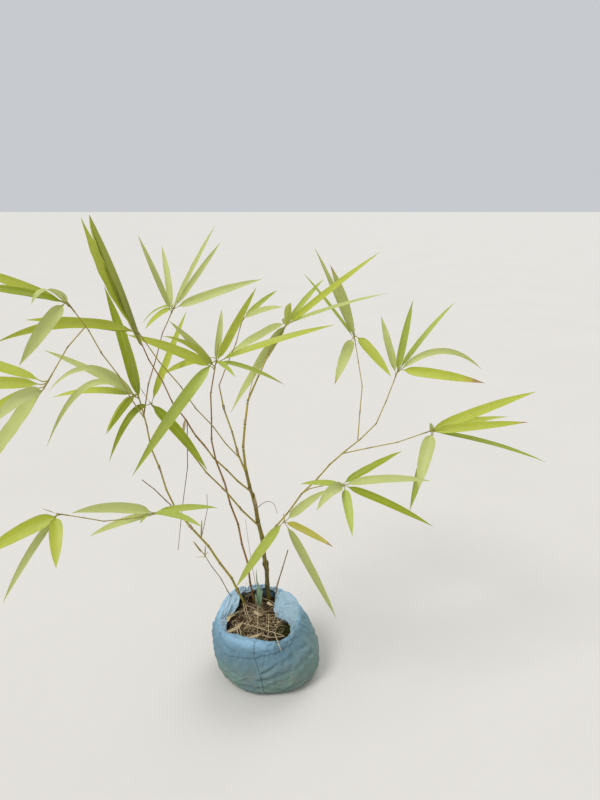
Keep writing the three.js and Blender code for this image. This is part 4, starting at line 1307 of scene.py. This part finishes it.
def wall_keys(angle):
    """The bag's outline at angles, from its underside up to the crest of the rim."""
    lift = rim_offset(angle)
    keys = []
    for z, share, x, y, half_x, half_y, square in BAG_RINGS:
        ring_x, ring_y = oval(angle, x, y, half_x, half_y, square)
        keys.append(np.stack([ring_x, ring_y, z + share * lift], 1))
    for inset, drop in ((0, COLLAR_DEPTH), (1.0, 3.5), (4.5, 0)):
        ring_x, ring_y = oval(angle, *COLLAR, inset)
        keys.append(np.stack([ring_x, ring_y, RIM_HEIGHT + lift - drop], 1))
    return np.array(keys)


def through_keys(keys, rows):
    """Rows of points on smooth lines through rings of keys."""
    steps = np.linalg.norm(np.diff(keys, axis=0), axis=2).mean(1)
    spots = np.concatenate([[0], np.cumsum(steps)])
    places = np.linspace(0, spots[-1], rows)
    table = np.concatenate([spots[:, None], keys.reshape(len(keys), -1)], 1)
    return smooth_curve(table, places).reshape(rows, -1, 3)


def mouth_at(heading):
    """Reach and drop of the mouth's edge at headings in radians."""
    keys = sorted(((h + 180) % 360 - 180, reach, drop) for h, reach, drop in MOUTH)
    before = [(h - 360, r, d) for h, r, d in keys[-3:]]
    after = [(h + 360, r, d) for h, r, d in keys[:3]]
    return smooth_curve(before + keys + after, np.degrees(heading)).T


def crease_depth(heading, height):
    """How far the creases push the wall in, in millimetres."""
    depth = np.zeros_like(height)
    for deep, wide, line in CREASES:
        nearest = np.full_like(height, 1e9)
        for (h0, z0), (h1, z1) in zip(line, line[1:]):
            run = np.array([math.radians((h1 - h0 + 180) % 360 - 180) * BAG_RADIUS, z1 - z0])
            x = ((heading - math.radians(h0) + math.pi) % math.tau - math.pi) * BAG_RADIUS
            y = height - z0
            share = ((x * run[0] + y * run[1]) / (run @ run)).clip(0, 1)
            nearest = np.minimum(nearest, np.hypot(x - share * run[0], y - share * run[1]))
        depth += deep * np.exp(-(nearest / wide) ** 2)
        depth -= deep * 0.55 * np.exp(-((nearest - 2.1 * wide) / wide) ** 2)
    return depth


def layered(spot, layers):
    """Soft noise in layers, each with its size, its rise and its shift."""
    total = 0.0
    for size, rise, shift in layers:
        total += noise.noise(spot / size + Vector(shift)) * rise
    return total


def rumple(point, stretch, size, seed, sharp, deep):
    """Ridged noise from 0 on the flats to its depth on a fold."""
    spot = Vector((point[0] / stretch[0], point[1] / stretch[1], point[2] / stretch[2])) / size
    ridge = 1 - min(1.0, abs(noise.noise(spot + Vector((seed, seed * 2.3, -seed)))) * 2.4)
    return ridge ** sharp * deep


def headings_of(ring):
    """The heading of each point of a ring from the collar's centre, in radians."""
    return np.arctan2(ring[:, 1] - COLLAR[1], ring[:, 0] - COLLAR[0])


def surface_normals(rows):
    """Outward directions of a grid of points that closes round its columns."""
    down = np.gradient(rows, axis=0)
    around = np.roll(rows, -1, axis=1) - np.roll(rows, 1, axis=1)
    normal = np.cross(around, down)
    size = np.linalg.norm(normal, axis=2, keepdims=True)
    return normal / np.maximum(size, 1e-9)


def wrinkle(rows, wall):
    """Moves the cloth in and out: creases and sags in the wall, gathers under the rim and on the flaps."""
    normal = surface_normals(rows)
    heading = np.arctan2(rows[..., 1], rows[..., 0])
    height = rows[..., 2]
    if not wall:
        inward = rows[:1, :, :2] - rows[..., :2]
        height = rows[:1, :, 2] + np.linalg.norm(inward, axis=2)
    move = np.zeros(rows.shape[:2])
    for r in range(rows.shape[0]):
        for c in range(rows.shape[1]):
            p = rows[r, c]
            soft = layered(Vector(p), SWELLS)
            if wall:
                low = math.exp(-((p[2] - SAG_PLACE[0]) / SAG_PLACE[1]) ** 2)
                high = 1 / (1 + math.exp(-(p[2] - GATHER_PLACE[0]) / GATHER_PLACE[1]))
                move[r, c] = soft + rumple(p, *SAGS) * low + rumple(p, *GATHERS) * high + rumple(p, *CRUMPLES)
            else:
                move[r, c] = soft * 0.6 + rumple(p, *FLAP_FOLDS)
    move -= crease_depth(heading, height)
    if wall:
        move *= (height / 12).clip(0, 1)
    return rows + normal * move[..., None]


def bag_rows():
    """The bag's cloth from its underside, up the wall, over the rim and down the flaps to the hem."""
    angle = np.linspace(0, math.tau, BAG_COLUMNS, endpoint=False)
    wall = wrinkle(through_keys(wall_keys(angle), WALL_ROWS), True)
    crest = wall[-1]
    heading = headings_of(crest)
    reach, drop = mouth_at(heading)
    edge_x = COLLAR[0] + reach * np.cos(heading)
    edge_y = COLLAR[1] + reach * np.sin(heading)
    inward = np.stack([edge_x, edge_y, crest[:, 2] - drop], 1) - crest
    flat = inward.copy()
    flat[:, 2] = 0
    inside = flat / np.linalg.norm(flat, axis=1, keepdims=True)
    band = []
    for t in np.linspace(0, 1, BAND_ROWS)[1:]:
        ease = np.array([0.0, 0.0, 1.0]) * (1.6 * math.sin(math.pi * min(1, t * 2.2)) if t < 0.45 else 0.0)
        band.append(crest + inward * t + ease)
    band = wrinkle(np.array([wall[-1]] + band), False)[1:]
    last = band[-1]
    hem = [last + inside * reach + (0, 0, -drop) for reach, drop in BAG_HEM]
    return wall, band, np.array(hem)


def loose_mesh(name, rows):
    """A bare mesh object of a closed grid of points in millimetres."""
    mesh = bpy.data.meshes.new(name)
    mesh.from_pydata((rows.reshape(-1, 3) * MM).tolist(), [], sheet_faces(*rows.shape[:2], closed=True))
    return place_in_scene(name, mesh)


def run_cloth(coarse, filling):
    """Simulates slightly overlong cloth over its filling, and gives each point's movement in millimetres."""
    cloth = loose_mesh("loose_cloth", coarse)
    body = loose_mesh("filling", filling)
    count, around = coarse.shape[:2]
    held = cloth.vertex_groups.new(name="held")
    held.add(list(range(around)) + list(range((count - 1) * around, count * around)), 1.0, "REPLACE")
    body.modifiers.new("stop", "COLLISION")
    body.collision.thickness_outer = SETTLE_SKIN
    modifier = cloth.modifiers.new("settle", "CLOTH")
    settings = modifier.settings
    settings.quality = SETTLE_QUALITY
    settings.mass = SETTLE_MASS
    settings.tension_stiffness = SETTLE_PULL
    settings.compression_stiffness = SETTLE_PULL
    settings.shear_stiffness = SETTLE_SHEAR
    settings.bending_stiffness = SETTLE_BENDING
    settings.shrink_min = -SETTLE_GROWTH
    settings.shrink_max = -SETTLE_GROWTH
    settings.vertex_group_mass = "held"
    settings.pin_stiffness = 1
    modifier.collision_settings.distance_min = SETTLE_SKIN
    modifier.collision_settings.collision_quality = 2
    for frame_number in range(1, SETTLE_FRAMES + 1):
        bpy.context.scene.frame_set(frame_number)
    evaluated = cloth.evaluated_get(bpy.context.evaluated_depsgraph_get())
    found = np.empty(len(cloth.data.vertices) * 3)
    evaluated.data.vertices.foreach_get("co", found)
    bpy.data.objects.remove(cloth)
    bpy.data.objects.remove(body)
    bpy.context.scene.frame_set(1)
    return found.reshape(coarse.shape) / MM - coarse


def settle_cloth(rows):
    """Lets the cloth settle into soft folds on a coarse grid, and carries its movement over to all rows."""
    first = int(np.argmax(rows[:, :, 2].min(1) > SETTLE_ABOVE))
    last = len(rows) - 1
    picks = np.append(np.arange(first, last, SETTLE_EVERY), last)
    filling = (rows - surface_normals(rows) * SETTLE_GAP)[::FILLING_EVERY, ::FILLING_EVERY]
    shift = run_cloth(rows[picks][:, ::SETTLE_EVERY], filling)
    size = np.linalg.norm(shift, axis=2, keepdims=True)
    shift *= np.minimum(1.0, SETTLE_MOST / np.maximum(size, 1e-6))
    columns = np.arange(rows.shape[1]) / SETTLE_EVERY
    index = columns.astype(int)
    part = (columns - index)[None, :, None]
    ring = np.concatenate([shift, shift[:, :1]], 1)
    wide = ring[:, index] * (1 - part) + ring[:, index + 1] * part
    settled = rows.copy()
    for row in range(first, len(rows)):
        here = min(int(np.searchsorted(picks, row, side="right")) - 1, len(picks) - 2)
        share = (row - picks[here]) / (picks[here + 1] - picks[here])
        fade = min(1.0, (row - first) / SETTLE_FADES[0], (last - row) / SETTLE_FADES[1])
        settled[row] += (wide[here] * (1 - share) + wide[here + 1] * share) * fade
    return settled


def grid_map(across, down):
    """Corner maps of a grid's faces, from how far each column and each row lies along the cloth."""
    corners = []
    for r in range(len(down) - 1):
        for c in range(len(across) - 1):
            corners.extend([(across[c], down[r]), (across[c + 1], down[r]),
                            (across[c + 1], down[r + 1]), (across[c], down[r + 1])])
    return corners


def make_bag():
    """The bag as one cloth shell with its flaps; also gives the rows of its wall and of its flaps."""
    wall, band, hem = bag_rows()
    settled = settle_cloth(np.concatenate([wall, band]))
    wall, band = settled[:len(wall)], settled[len(wall):]
    wall[:, :, 2] = np.maximum(wall[:, :, 2], BAG_THICK / 2)
    rows = np.concatenate([wall, band, hem])
    around = np.arange(BAG_COLUMNS + 1) / BAG_COLUMNS * BAG_GIRTH
    steps = np.linalg.norm(np.diff(rows, axis=0), axis=2).mean(1) * MM
    down = np.concatenate([[0], np.cumsum(steps)])
    faces = sheet_faces(len(rows), BAG_COLUMNS, closed=True)
    pile = Pile()
    pile.add(rows.reshape(-1, 3), faces, grid_map(around, down))
    centre = wall[0].mean(0)
    base = [wall[0] * share + centre * (1 - share) for share in BASE_RINGS]
    base_points = np.concatenate([wall[0]] + base + [centre[None]])
    base_faces = [tuple(reversed(face)) for face in sheet_faces(len(base) + 1, BAG_COLUMNS, closed=True)]
    last = len(base) * BAG_COLUMNS
    middle = len(base_points) - 1
    base_faces += [(last + (c + 1) % BAG_COLUMNS, last + c, middle) for c in range(BAG_COLUMNS)]
    pile.add(base_points, base_faces, [base_points[i][:2] * MM for face in base_faces for i in face])
    piece = pile.piece("bag_shell", [BAG_CLOTH, BAG_INNER])
    inner = np.zeros(len(piece.data.polygons), int)
    inner[(len(wall) - 1) * BAG_COLUMNS:len(faces)] = 1
    piece.data.polygons.foreach_set("material_index", inner)
    close_shell(piece, BAG_THICK)
    return piece, wall, band


def close_shell(piece, thick):
    """Merges the seams, turns the faces out and gives the cloth its thickness."""
    work = bmesh.new()
    work.from_mesh(piece.data)
    bmesh.ops.remove_doubles(work, verts=work.verts, dist=1e-5)
    bmesh.ops.recalc_face_normals(work, faces=work.faces)
    work.to_mesh(piece.data)
    work.free()
    solidify = piece.modifiers.new("thickness", "SOLIDIFY")
    solidify.thickness = thick * MM
    solidify.offset = 0.0
    apply_modifiers(piece)


def apply_modifiers(piece):
    """Turns a piece's modifiers into plain mesh."""
    bpy.context.view_layer.update()
    evaluated = piece.evaluated_get(bpy.context.evaluated_depsgraph_get())
    mesh = bpy.data.meshes.new_from_object(evaluated)
    piece.modifiers.clear()
    piece.data = mesh
    mesh.polygons.foreach_set("use_smooth", [True] * len(mesh.polygons))


def make_cuff(wall, band):
    """The bag's front edge folded over outwards: a loose layer from the mouth over the rim to its low hem."""
    sheet = np.concatenate([band[::-1], wall[::-1]])
    normals = -surface_normals(sheet)
    heading = np.degrees(headings_of(wall[-1]))
    columns = [c for c in np.argsort(heading) if CUFF_FROM < heading[c] < CUFF_TO]
    low = smooth_curve(CUFF, heading[columns])[:, 0]
    close, over, hem = CUFF_PUFF
    points, spans = [], []
    for column, end_z in zip(columns, low):
        line, out = sheet[:, column], normals[:, column]
        lengths = lengths_along(line)
        past = len(band) + int(np.argmax(line[len(band):, 2] < end_z))
        end = np.interp(end_z, line[[past, past - 1], 2], lengths[[past, past - 1]])
        from_ends = (heading[column] - CUFF_FROM) / CUFF_ENDS[0], (CUFF_TO - heading[column]) / CUFF_ENDS[1]
        loose = max(0.25, min(1.0, *from_ends))
        strip = []
        for t in np.linspace(0, 1, CUFF_ROWS):
            place = t * end
            spot = np.array([np.interp(place, lengths, line[:, axis]) for axis in range(3)])
            side = unit(np.array([np.interp(place, lengths, out[:, axis]) for axis in range(3)]))
            arch = over * math.sin(math.pi * t ** 0.8)
            puff = close + arch + rumple(spot, *CUFF_FOLDS) * t + hem * t * t
            strip.append(spot + side * puff * loose)
        tuck = strip[0] - unit(out[0]) * 2.2 - np.append(unit(line[1][:2] - line[0][:2]) * 1.2, 0)
        points.append([tuck] + strip)
        spans.append(end)
    grid = np.array(points).transpose(1, 0, 2)
    down = np.linspace(0, np.mean(spans), len(grid)) * MM
    across = lengths_along(grid[-1]) * MM
    pile = Pile()
    pile.add(grid.reshape(-1, 3), sheet_faces(*grid.shape[:2]), grid_map(across, down))
    piece = pile.piece("bag_cuff", [BAG_CLOTH])
    close_shell(piece, CUFF_THICK)
    return piece, grid, heading[columns]


def raised(part, rise):
    """A grid of points moved outwards along its own directions."""
    normal = np.cross(np.gradient(part, axis=1), np.gradient(part, axis=0))
    normal /= np.maximum(np.linalg.norm(normal, axis=2, keepdims=True), 1e-9)
    if normal[len(part) // 2, 0, :2] @ part[len(part) // 2, 0, :2] < 0:
        normal = -normal
    return part + normal * np.asarray(rise)[..., None]


def make_seam(wall, grid, headings):
    """The bag's front seam: a raised strip on the cuff and the wall, its stitches, and those of the hem."""
    column = int(np.argmin(np.abs(headings - SEAM_HEADING)))
    cuff_part = grid[3:, column - 3:column + 4]
    spot = int(np.argmin(np.abs(np.degrees(headings_of(wall[-1])) - SEAM_HEADING)))
    heights = wall[:, spot, 2]
    seen = (heights > SEAM_FOOT) & (heights < cuff_part[-1, 3, 2] + 1.0)
    wall_part = wall[seen, spot - 3:spot + 4]
    pile = Pile()
    lines = []
    for part in (cuff_part, wall_part):
        strip = raised(part, [SEAM_RISE])[:, 1:6]
        corners = grid_map(np.arange(5) * SEAM_STEPS[0], np.arange(len(strip)) * SEAM_STEPS[1])
        pile.add(strip.reshape(-1, 3), sheet_faces(len(strip), 5), corners)
        for side in (2, 4):
            lines.append(raised(part, np.full((1, 7), STITCH_RISE))[:, side])
    seam = pile.piece("bag_seam", [BAG_CLOTH])
    close_shell(seam, SEAM_THICK)
    hem = raised(grid, np.full((1, grid.shape[1]), HEM_STITCH_RISE))[-4, 4:-4]
    start = line_mesh("bag_stitches", lines + [hem])
    return seam, grown_piece("bag_stitches", start, STITCHES, {**STITCH, "Finish": THREAD})


# Soil
def soil_rows(wall):
    """The soil's rings from its foot up the wall and over its top to the crown."""
    angle = np.linspace(0, math.tau, SOIL_COLUMNS, endpoint=False)
    columns = np.arange(SOIL_COLUMNS) * BAG_COLUMNS // SOIL_COLUMNS
    heights = wall[:, columns, 2].mean(1)
    rings = []
    centre = wall[:, columns].mean(1)
    for level in SOIL_LEVELS:
        row = int(np.argmin(np.abs(heights - level)))
        ring = wall[row, columns].copy()
        ring[:, :2] = centre[row][:2] + (ring[:, :2] - centre[row][:2]) * SOIL_FILL
        rings.append(ring)
    rings[0][:, 2] = SOIL_LEVELS[0]
    edge_x, edge_y = oval(angle, *COLLAR, 8.0)
    edge_z = SOIL_EDGE[0] + SOIL_EDGE[1] * np.sin(angle)
    crown_z, crown_x, crown_y = SOIL_CROWN
    for share in np.linspace(0, 1, SOIL_ROWS):
        x = edge_x * (1 - share) + crown_x * share
        y = edge_y * (1 - share) + crown_y * share
        mound = 1 - (1 - share) ** 1.6
        z = edge_z * (1 - mound) + (crown_z - 2) * mound
        rings.append(np.stack([x, y, z], 1))
    return np.array(rings)


def soil_height(x, y):
    """Clods and hollows on the soil's top, in millimetres."""
    rough = layered(Vector((x, y, 0)), CLODS)
    for hollow_x, hollow_y, wide, deep in HOLLOWS:
        rough -= deep * math.exp(-((x - hollow_x) ** 2 + (y - hollow_y) ** 2) / wide ** 2)
    return rough


def heap(x, y, spot):
    """One at a spot on the soil, fading away from it within its width each way."""
    return np.exp(-(((x - spot[0]) / spot[2]) ** 2 + ((y - spot[1]) / spot[-1]) ** 2))


def make_soil(wall):
    """The soil in the bag, with a rough top that says where moss, straw and crumbs lie on it."""
    rows = soil_rows(wall)
    top_from = len(SOIL_LEVELS)
    for r in range(top_from, len(rows)):
        for c in range(rows.shape[1]):
            x, y = rows[r, c, :2]
            rows[r, c, 2] += soil_height(x, y) * min(1.0, (r - top_from) / 3)
    points = rows.reshape(-1, 3)
    count, columns = rows.shape[:2]
    faces = sheet_faces(count, columns, closed=True)
    low, high = rows[0].mean(0), rows[-1].mean(0)
    points = np.concatenate([points, [low, high]])
    faces += [((c + 1) % columns, c, len(points) - 2) for c in range(columns)]
    last = (count - 1) * columns
    faces += [(last + c, last + (c + 1) % columns, len(points) - 1) for c in range(columns)]
    x, y, z = points.T
    top = (z > 95).astype(float)
    litter = heap(x, y, LITTER_SPOT) * (1 - 0.85 * heap(x, y, BARE_SPOT))
    edge = np.hypot((x - COLLAR[0]) / COLLAR[2], (y - COLLAR[1]) / COLLAR[3])
    inside = ((0.86 - edge) / 0.14).clip(0, 1) * top
    within = ((0.74 - edge) / 0.16).clip(0, 1) * top
    corners = [points[i][:2] * MM for face in faces for i in face]
    pile = Pile()
    pile.add(points, faces, corners, moss=heap(x, y, MOSS_SPOT) * inside, litter=litter * within,
             tuft=heap(x, y, TUFT_SPOT) * within, everywhere=inside)
    return pile.piece("soil_top", [SOIL])


def shape_collection(name, meshes):
    """A hidden collection of small shapes for scattering."""
    made = bpy.data.collections.new(name)
    for index, mesh in enumerate(meshes):
        made.objects.link(bpy.data.objects.new(f"{name}_{index}", mesh))
    return made


def bare_shape(name, points, faces, corners, finish):
    """The mesh alone of a small shape."""
    pile = Pile()
    pile.add(points, faces, corners)
    piece = pile.piece(name, [finish])
    mesh = piece.data
    bpy.data.objects.remove(piece)
    return mesh


def straw_shapes():
    """Dry straws and strips of dead leaf, each a thin tube of six sides."""
    steps, loop = 10, 6
    faces = sheet_faces(steps, loop, closed=True) + end_caps(steps, loop)
    shapes = []
    for length, wide, flat, bend, twist in STRAWS:
        points = []
        for s in np.linspace(-0.5, 0.5, steps):
            half = wide / 2 * (1 - abs(s * 2) ** 4 * 0.6)
            c, n = math.cos(twist * s + 0.5), math.sin(twist * s + 0.5)
            for k in range(loop):
                angle = math.tau * k / loop
                across, lift = half * math.cos(angle), half * flat * math.sin(angle)
                points.append((s * length, across * c - lift * n + bend * (s * s * 4 - 0.5),
                               across * n + lift * c + bend * math.sin(5 * s)))
        corners = [(points[i][0] * MM, points[i][1] * MM) for face in faces for i in face]
        shapes.append(bare_shape("straw_shape", points, faces, corners, STRAW))
    return shapes


def crumb_shapes():
    """Rough little clods."""
    shapes = []
    for index in range(SHAPE_KINDS):
        work = bmesh.new()
        bmesh.ops.create_icosphere(work, subdivisions=1, radius=1 * MM)
        for vert in work.verts:
            push = 1 + 0.45 * noise.noise(vert.co * 900 + Vector((index * 3.7, 0, 0)))
            vert.co *= push
            vert.co.z *= 0.75
        mesh = bpy.data.meshes.new(f"crumb_{index}")
        work.to_mesh(mesh)
        work.free()
        mesh.uv_layers.new(name="surface")
        shapes.append(mesh)
    return shapes


def moss_shapes():
    """Tiny tufts of pointed leaflets."""
    shapes = []
    random = seeded(9)
    for _ in range(SHAPE_KINDS):
        points, faces = [], []
        for leaflet in range(6):
            turn, lean = math.tau * leaflet / 6 + random(), 0.4 + 0.7 * random()
            out = np.array([math.cos(turn), math.sin(turn), 0.0])
            side = np.array([-math.sin(turn), math.cos(turn), 0.0])
            tip = out * 2.4 * lean + (0, 0, 2.6)
            first = len(points)
            points += [side * 0.45, -side * 0.45, out * 0.5, tip]
            faces += [tuple(first + i for i in face) for face in LEAFLET_FACES]
        shapes.append(bare_shape("moss_shape", points, faces, [(0, 0)] * 3 * len(faces), MOSS))
    return shapes


def make_litter(soil):
    """Straw, clods and moss on the soil."""
    kinds = {
        "straws": (shape_collection("straws", straw_shapes()), STRAW),
        "clods": (shape_collection("clods", crumb_shapes()), CRUMBS),
        "tufts": (shape_collection("tufts", moss_shapes()), MOSS),
    }
    for name, kind, density, seed, small, large, tilt, lift, weight, slot in SCATTERED:
        shapes, finish = kinds[kind]
        values = {
            "Shapes": shapes, "Density": density, "Seed": seed, "Smallest": small, "Largest": large,
            "Tilt": tilt, "Lift": lift * MM, "Weight": weight, "Finish": finish,
        }
        ride_as(grown_piece(name, soil.data.copy(), SCATTER, values), slot)


def make_sheaths(grown):
    """Papery sheaths that hug the stems above some joints, and the small buds beside them."""
    pile = Pile()
    random = seeded(31)
    for stem in grown.values():
        points, thick = stem["points"], stem["thick"]
        if stem["look"] == "fresh_shoot" or thick[0] < SHEATHED_FROM:
            continue
        for index in range(1, len(points) - 1):
            radius = np.interp(index / (len(points) - 1), (0, 1), thick) / 2
            axis = unit(points[index + 1] - points[index])
            turn = random() * math.tau
            if random() < SHEATH_SHARE:
                length = radius * (4 + 4 * random())
                foot = points[index] + axis * radius * 0.1
                add_sheath(pile, foot, axis, radius * 1.22, length, turn)
            add_bud(pile, points[index] + axis * radius * 0.6, axis, radius, turn + math.pi * (index % 2))
    return pile.piece("sheaths", [SHEATH])


def frame_of(axis):
    """Two directions across an axis."""
    reference = np.array([0.0, 1.0, 0.0]) if abs(axis[1]) < 0.8 else np.array([1.0, 0.0, 0.0])
    side = unit(np.cross(axis, reference))
    return side, np.cross(axis, side)


def add_sheath(pile, foot, axis, radius, length, turn):
    """A papery sheath: a thin pointed sheet wrapped most of the way round the stem."""
    side, other = frame_of(axis)
    columns, rows = SHEATH_GRID
    skins = []
    for layer in (SHEATH_THICK, 0.0):
        skin = []
        for t in np.linspace(0, 1, rows):
            for k in np.linspace(-1, 1, columns):
                around = turn + k * (2.6 - 0.8 * t)
                reach = t * length * (1 - 0.38 * abs(k) ** 1.5)
                flare = radius * (1 + 0.05 * t + 0.35 * t * t * abs(k)) + layer + 0.05 * math.sin(9 * around)
                out = side * math.cos(around) + other * math.sin(around)
                skin.append(foot + axis * reach + out * flare)
        skins.append(np.array(skin))
    count = columns * rows
    outer = sheet_faces(rows, columns)
    inner = [tuple(count + i for i in reversed(face)) for face in outer]
    last = (rows - 1) * columns
    rim = list(range(columns)) + [r * columns + columns - 1 for r in range(1, rows)]
    rim += [last + c for c in range(columns - 2, -1, -1)] + [r * columns for r in range(rows - 2, 0, -1)]
    walls = [(b, a, count + a, count + b) for a, b in zip(rim, rim[1:] + rim[:1])]
    faces = outer + inner + walls
    place = [((i % count) // columns / (rows - 1) * length * MM, (i % columns) * 0.0012)
             for i in range(2 * count)]
    pile.add(np.concatenate(skins), faces, [place[i] for face in faces for i in face])


def add_bud(pile, foot, axis, radius, turn):
    """A flat pointed bud pressed to the stem."""
    side, other = frame_of(axis)
    out = side * math.cos(turn) + other * math.sin(turn)
    flat = np.cross(axis, out)
    rows, loop = 7, 8
    points = []
    for t in np.linspace(0, 1, rows):
        swell = math.sin(math.pi * min(0.98, t * 0.9 + 0.08)) ** 0.7
        for k in range(loop):
            angle = math.tau * k / loop
            outwards = radius * 0.85 + radius * 0.32 * swell * math.cos(angle)
            sideways = radius * 0.5 * swell * math.sin(angle)
            points.append(foot + axis * t * radius * 1.7 + out * outwards + flat * sideways)
    faces = sheet_faces(rows, loop, closed=True) + end_caps(rows, loop)
    pile.add(points, faces, [(points[i][2] * MM, points[i][0] * MM) for face in faces for i in face])


def thin_line(points, half, loss, count):
    """A thin smooth stem through points, which loses a share of its thickness on the way."""
    spots = through(points, count)
    return [(spot, half * (1 - loss * i / (count - 1)), NO_JOINT) for i, spot in enumerate(spots)]


def make_long_straws():
    """Single long straws that lie on the litter."""
    lines = [thin_line(*straw, STRAW_LOSS, STRAW_POINTS) for straw in LONG_STRAWS]
    return limbs("straw_long", lines, THIN_SIDES, STRAW_STEM)


def make_side_twigs():
    """Short young twigs with swollen tips."""
    lines = []
    for keys in SIDE_TWIGS:
        lines.append([(spot[:3], max(spot[3], 0.15), NO_JOINT) for spot in through(keys, TWIG_POINTS)])
    return limbs("side_twigs", lines, THIN_SIDES, TWIG_FINISH)


def blade_pile(name, blades, facing, seed, finish, tone):
    """A piece of single blades given by their stalk end, tip, width, arch and bow."""
    random = seeded(seed)
    pile = Pile()
    for base, tip, width, arch, bow in blades:
        ends = np.array([base, tip], float)
        rows, v = blade_rows(*ends, width, arch, facing, bow, random)
        add_blade(pile, rows, v, 0, tone=tone * random(), dry=0.0)
    return pile.piece(name, [finish])


def make_dry_leaves():
    """Dead leaves on the soil and on the stems, and the fresh shoot's sheaths."""
    dead = blade_pile("leaves_dead", DRY_LEAVES, LIGHT_FROM, 77, DRY_LEAF, 0.5)
    sheaths = [(foot, tip, width, 0, bow) for foot, tip, width, bow in SHOOT_BLADES]
    fresh = blade_pile("shoot_sheaths", sheaths, SPEAR_LIGHT, 78, SHOOT_BLADE, 0.6)
    return dead, fresh


def make_stems(grown):
    """The culms and branches, joined by finish, each piece standing for its solids."""
    looks = {}
    for name, stem in grown.items():
        looks.setdefault(stem["look"], []).append(name)
    for look, names in looks.items():
        lines = [jointed_line(grown[name]) for name in names]
        if look == "dead_stem":
            lines += [thin_line(*stem, FINE_LOSS, FINE_POINTS) for stem in FINE_STEMS]
        ride_as(limbs(look, lines, STEM_SIDES, STEM_FINISHES[look]), look, *names)


def make_foliage(grown):
    """The sprays' blades, a piece for each spray, and all their stalks in one."""
    twigs = []
    carrying = [stem for stem in grown.values() if stem["spray"]]
    for order, stem in enumerate(carrying):
        piece = grow_spray(order, stem, twigs)
        ride_as(piece, "spear_leaf" if stem["spray"] == "spear" else "leaf", stem["spray"])
    ride_as(limbs("leaf_stalks", twigs, THIN_SIDES, TWIG_FINISH), "yellow_branch")


def make_studio():
    """A plain pale floor, soft light and the photograph's camera."""
    scene = bpy.context.scene
    mesh = bpy.data.meshes.new("floor")
    corners = [(x * FLOOR_REACH, y * FLOOR_REACH, 0) for x, y in ((-1, -1), (1, -1), (1, 1), (-1, 1))]
    mesh.from_pydata(corners, [], [(0, 1, 2, 3)])
    mesh.materials.append(FLOOR)
    place_in_scene("floor", mesh)
    for name, place, power, spread in LAMPS:
        light = bpy.data.lights.new(name, "SUN")
        light.energy = power
        light.angle = math.radians(spread)
        lamp = place_in_scene(name, light)
        lamp.location = place
        lamp.rotation_euler = (-Vector(place)).to_track_quat("-Z", "Y").to_euler()
    scene.world = bpy.data.worlds.new("studio")
    scene.world.use_nodes = True
    sky = scene.world.node_tree.nodes["Background"].inputs
    sky["Color"].default_value = SKY
    sky["Strength"].default_value = SKY_STRENGTH
    scene.view_settings.view_transform = "Standard"
    lens = bpy.data.cameras.new("view")
    lens.sensor_fit = "VERTICAL"
    lens.sensor_height = SENSOR_HEIGHT
    lens.lens = LENS_PIXELS / PICTURE_HEIGHT * SENSOR_HEIGHT
    camera = place_in_scene("view", lens)
    camera.location = CAMERA_PLACE
    camera.rotation_euler = (math.radians(90 - CAMERA_DOWN), 0, 0)
    scene.camera = camera


make_studio()
grown = grow_stems()
make_stems(grown)
make_foliage(grown)
ride_as(make_sheaths(grown), "dead_stem")
bag, wall, band = make_bag()
cuff, cuff_grid, cuff_headings = make_cuff(wall, band)
for cloth in (bag, cuff, *make_seam(wall, cuff_grid, cuff_headings)):
    ride_as(cloth, "blue_cloth", "bag")
soil = make_soil(wall)
make_litter(soil)
ride_as(soil, "soil", "soil")
ride_as(make_long_straws(), "dead_stem")
ride_as(make_side_twigs(), "yellow_branch")
dead_leaves, shoot_sheaths = make_dry_leaves()
ride_as(dead_leaves, "dead_stem")
ride_as(shoot_sheaths, "fresh_shoot")
